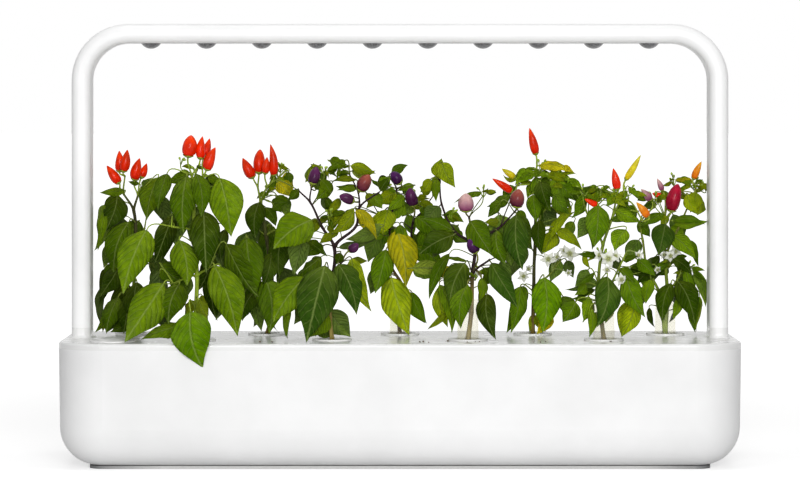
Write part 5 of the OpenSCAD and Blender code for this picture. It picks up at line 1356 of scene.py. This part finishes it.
# Spilt soil on the lid: x and y in mm, and how many crumbs
SPILLS = [(24, -66, 5), (66, -60, 3), (188, -58, 4), (-120, -64, 2), (128, -70, 3)]
for x, y, count in SPILLS:
    for _ in range(count):
        size = rng.uniform(0.35, 1.0) * MM
        spot = Vector((x + rng.gauss(0, 9), y + rng.gauss(0, 5), LID_TOP / MM)) * MM
        lump(crumbs, rng, spot + Vector((0, 0, 0.55 * size)), size)
crumbs.make("soil_crumbs", "lid", "soil", (crumb_look,))


# ---------------------------------------------------------------- floor, light and finish
def lamp(name, place, aim, size, power):
    data = bpy.data.lights.new(name, "AREA")
    data.shape = "RECTANGLE"
    data.size, data.size_y = size
    data.energy = power
    light = bpy.data.objects.new(name, data)
    light.location = place
    light.rotation_euler = (Vector(aim) - Vector(place)).to_track_quat("-Z", "Y").to_euler()
    bpy.context.scene.collection.objects.link(light)


def seen_directly(t):
    """1 for rays that see the thing in the picture, in a mirror or through glass, 0 for its light."""
    path = t.add("ShaderNodeLightPath")
    rays = t.math("ADD", path.outputs["Is Camera Ray"], path.outputs["Is Glossy Ray"])
    return t.math("ADD", rays, path.outputs["Is Transmission Ray"], clamp=True)


world = bpy.data.worlds.new("world")
world.use_nodes = True
t = Nodes(world.node_tree)
ambient = 0.2
strength = t.math("MULTIPLY_ADD", seen_directly(t), 1 - ambient, ambient)
back = t.add("ShaderNodeBackground", {"Color": (1, 1, 1, 1), "Strength": strength})
t.add("ShaderNodeOutputWorld", {"Surface": back})
bpy.context.scene.world = world

floor_white, t = new_material("floor_white")
pale = t.mix(t.ramp(t.noise(3, 2), (0.4, 0.0), (0.6, 1.0)), (0.71, 0.71, 0.71), (0.73, 0.73, 0.73))
matt = t.add("ShaderNodeBsdfDiffuse", {"Color": pale})
away = t.add("ShaderNodeVectorMath", {0: t.object_place()}, operation="LENGTH").outputs["Value"]
near_to_far = {"From Min": 0.5, "From Max": 2.5, "To Min": 0.6, "To Max": 1.0}
far = t.add("ShaderNodeMapRange", {"Value": away, **near_to_far})
glow = t.add(
    "ShaderNodeEmission",
    {"Color": (1, 1, 1, 1), "Strength": t.math("MULTIPLY", seen_directly(t), far)},
)
t.output(t.add("ShaderNodeAddShader", {0: matt, 1: glow}))
plane = bpy.data.meshes.new("floor")
FLOOR_REACH = 40
corners = [(x * FLOOR_REACH, y * FLOOR_REACH, 0) for x, y in ((-1, -1), (1, -1), (1, 1), (-1, 1))]
plane.from_pydata(corners, [], [(0, 1, 2, 3)])
plane.materials.append(floor_white)
floor = bpy.data.objects.new("floor", plane)
bpy.context.scene.collection.objects.link(floor)

lamp("key", (0.25, -3.4, 1.0), (0, 0, 0.2), (1.3, 1.2), 58)
lamp("low", (-0.2, -3.2, 0.35), (0, 0, 0.25), (2.0, 0.5), 16)
lamp("top", (0, -0.3, 2.6), (0, 0, 0.1), (2.0, 1.2), 20)
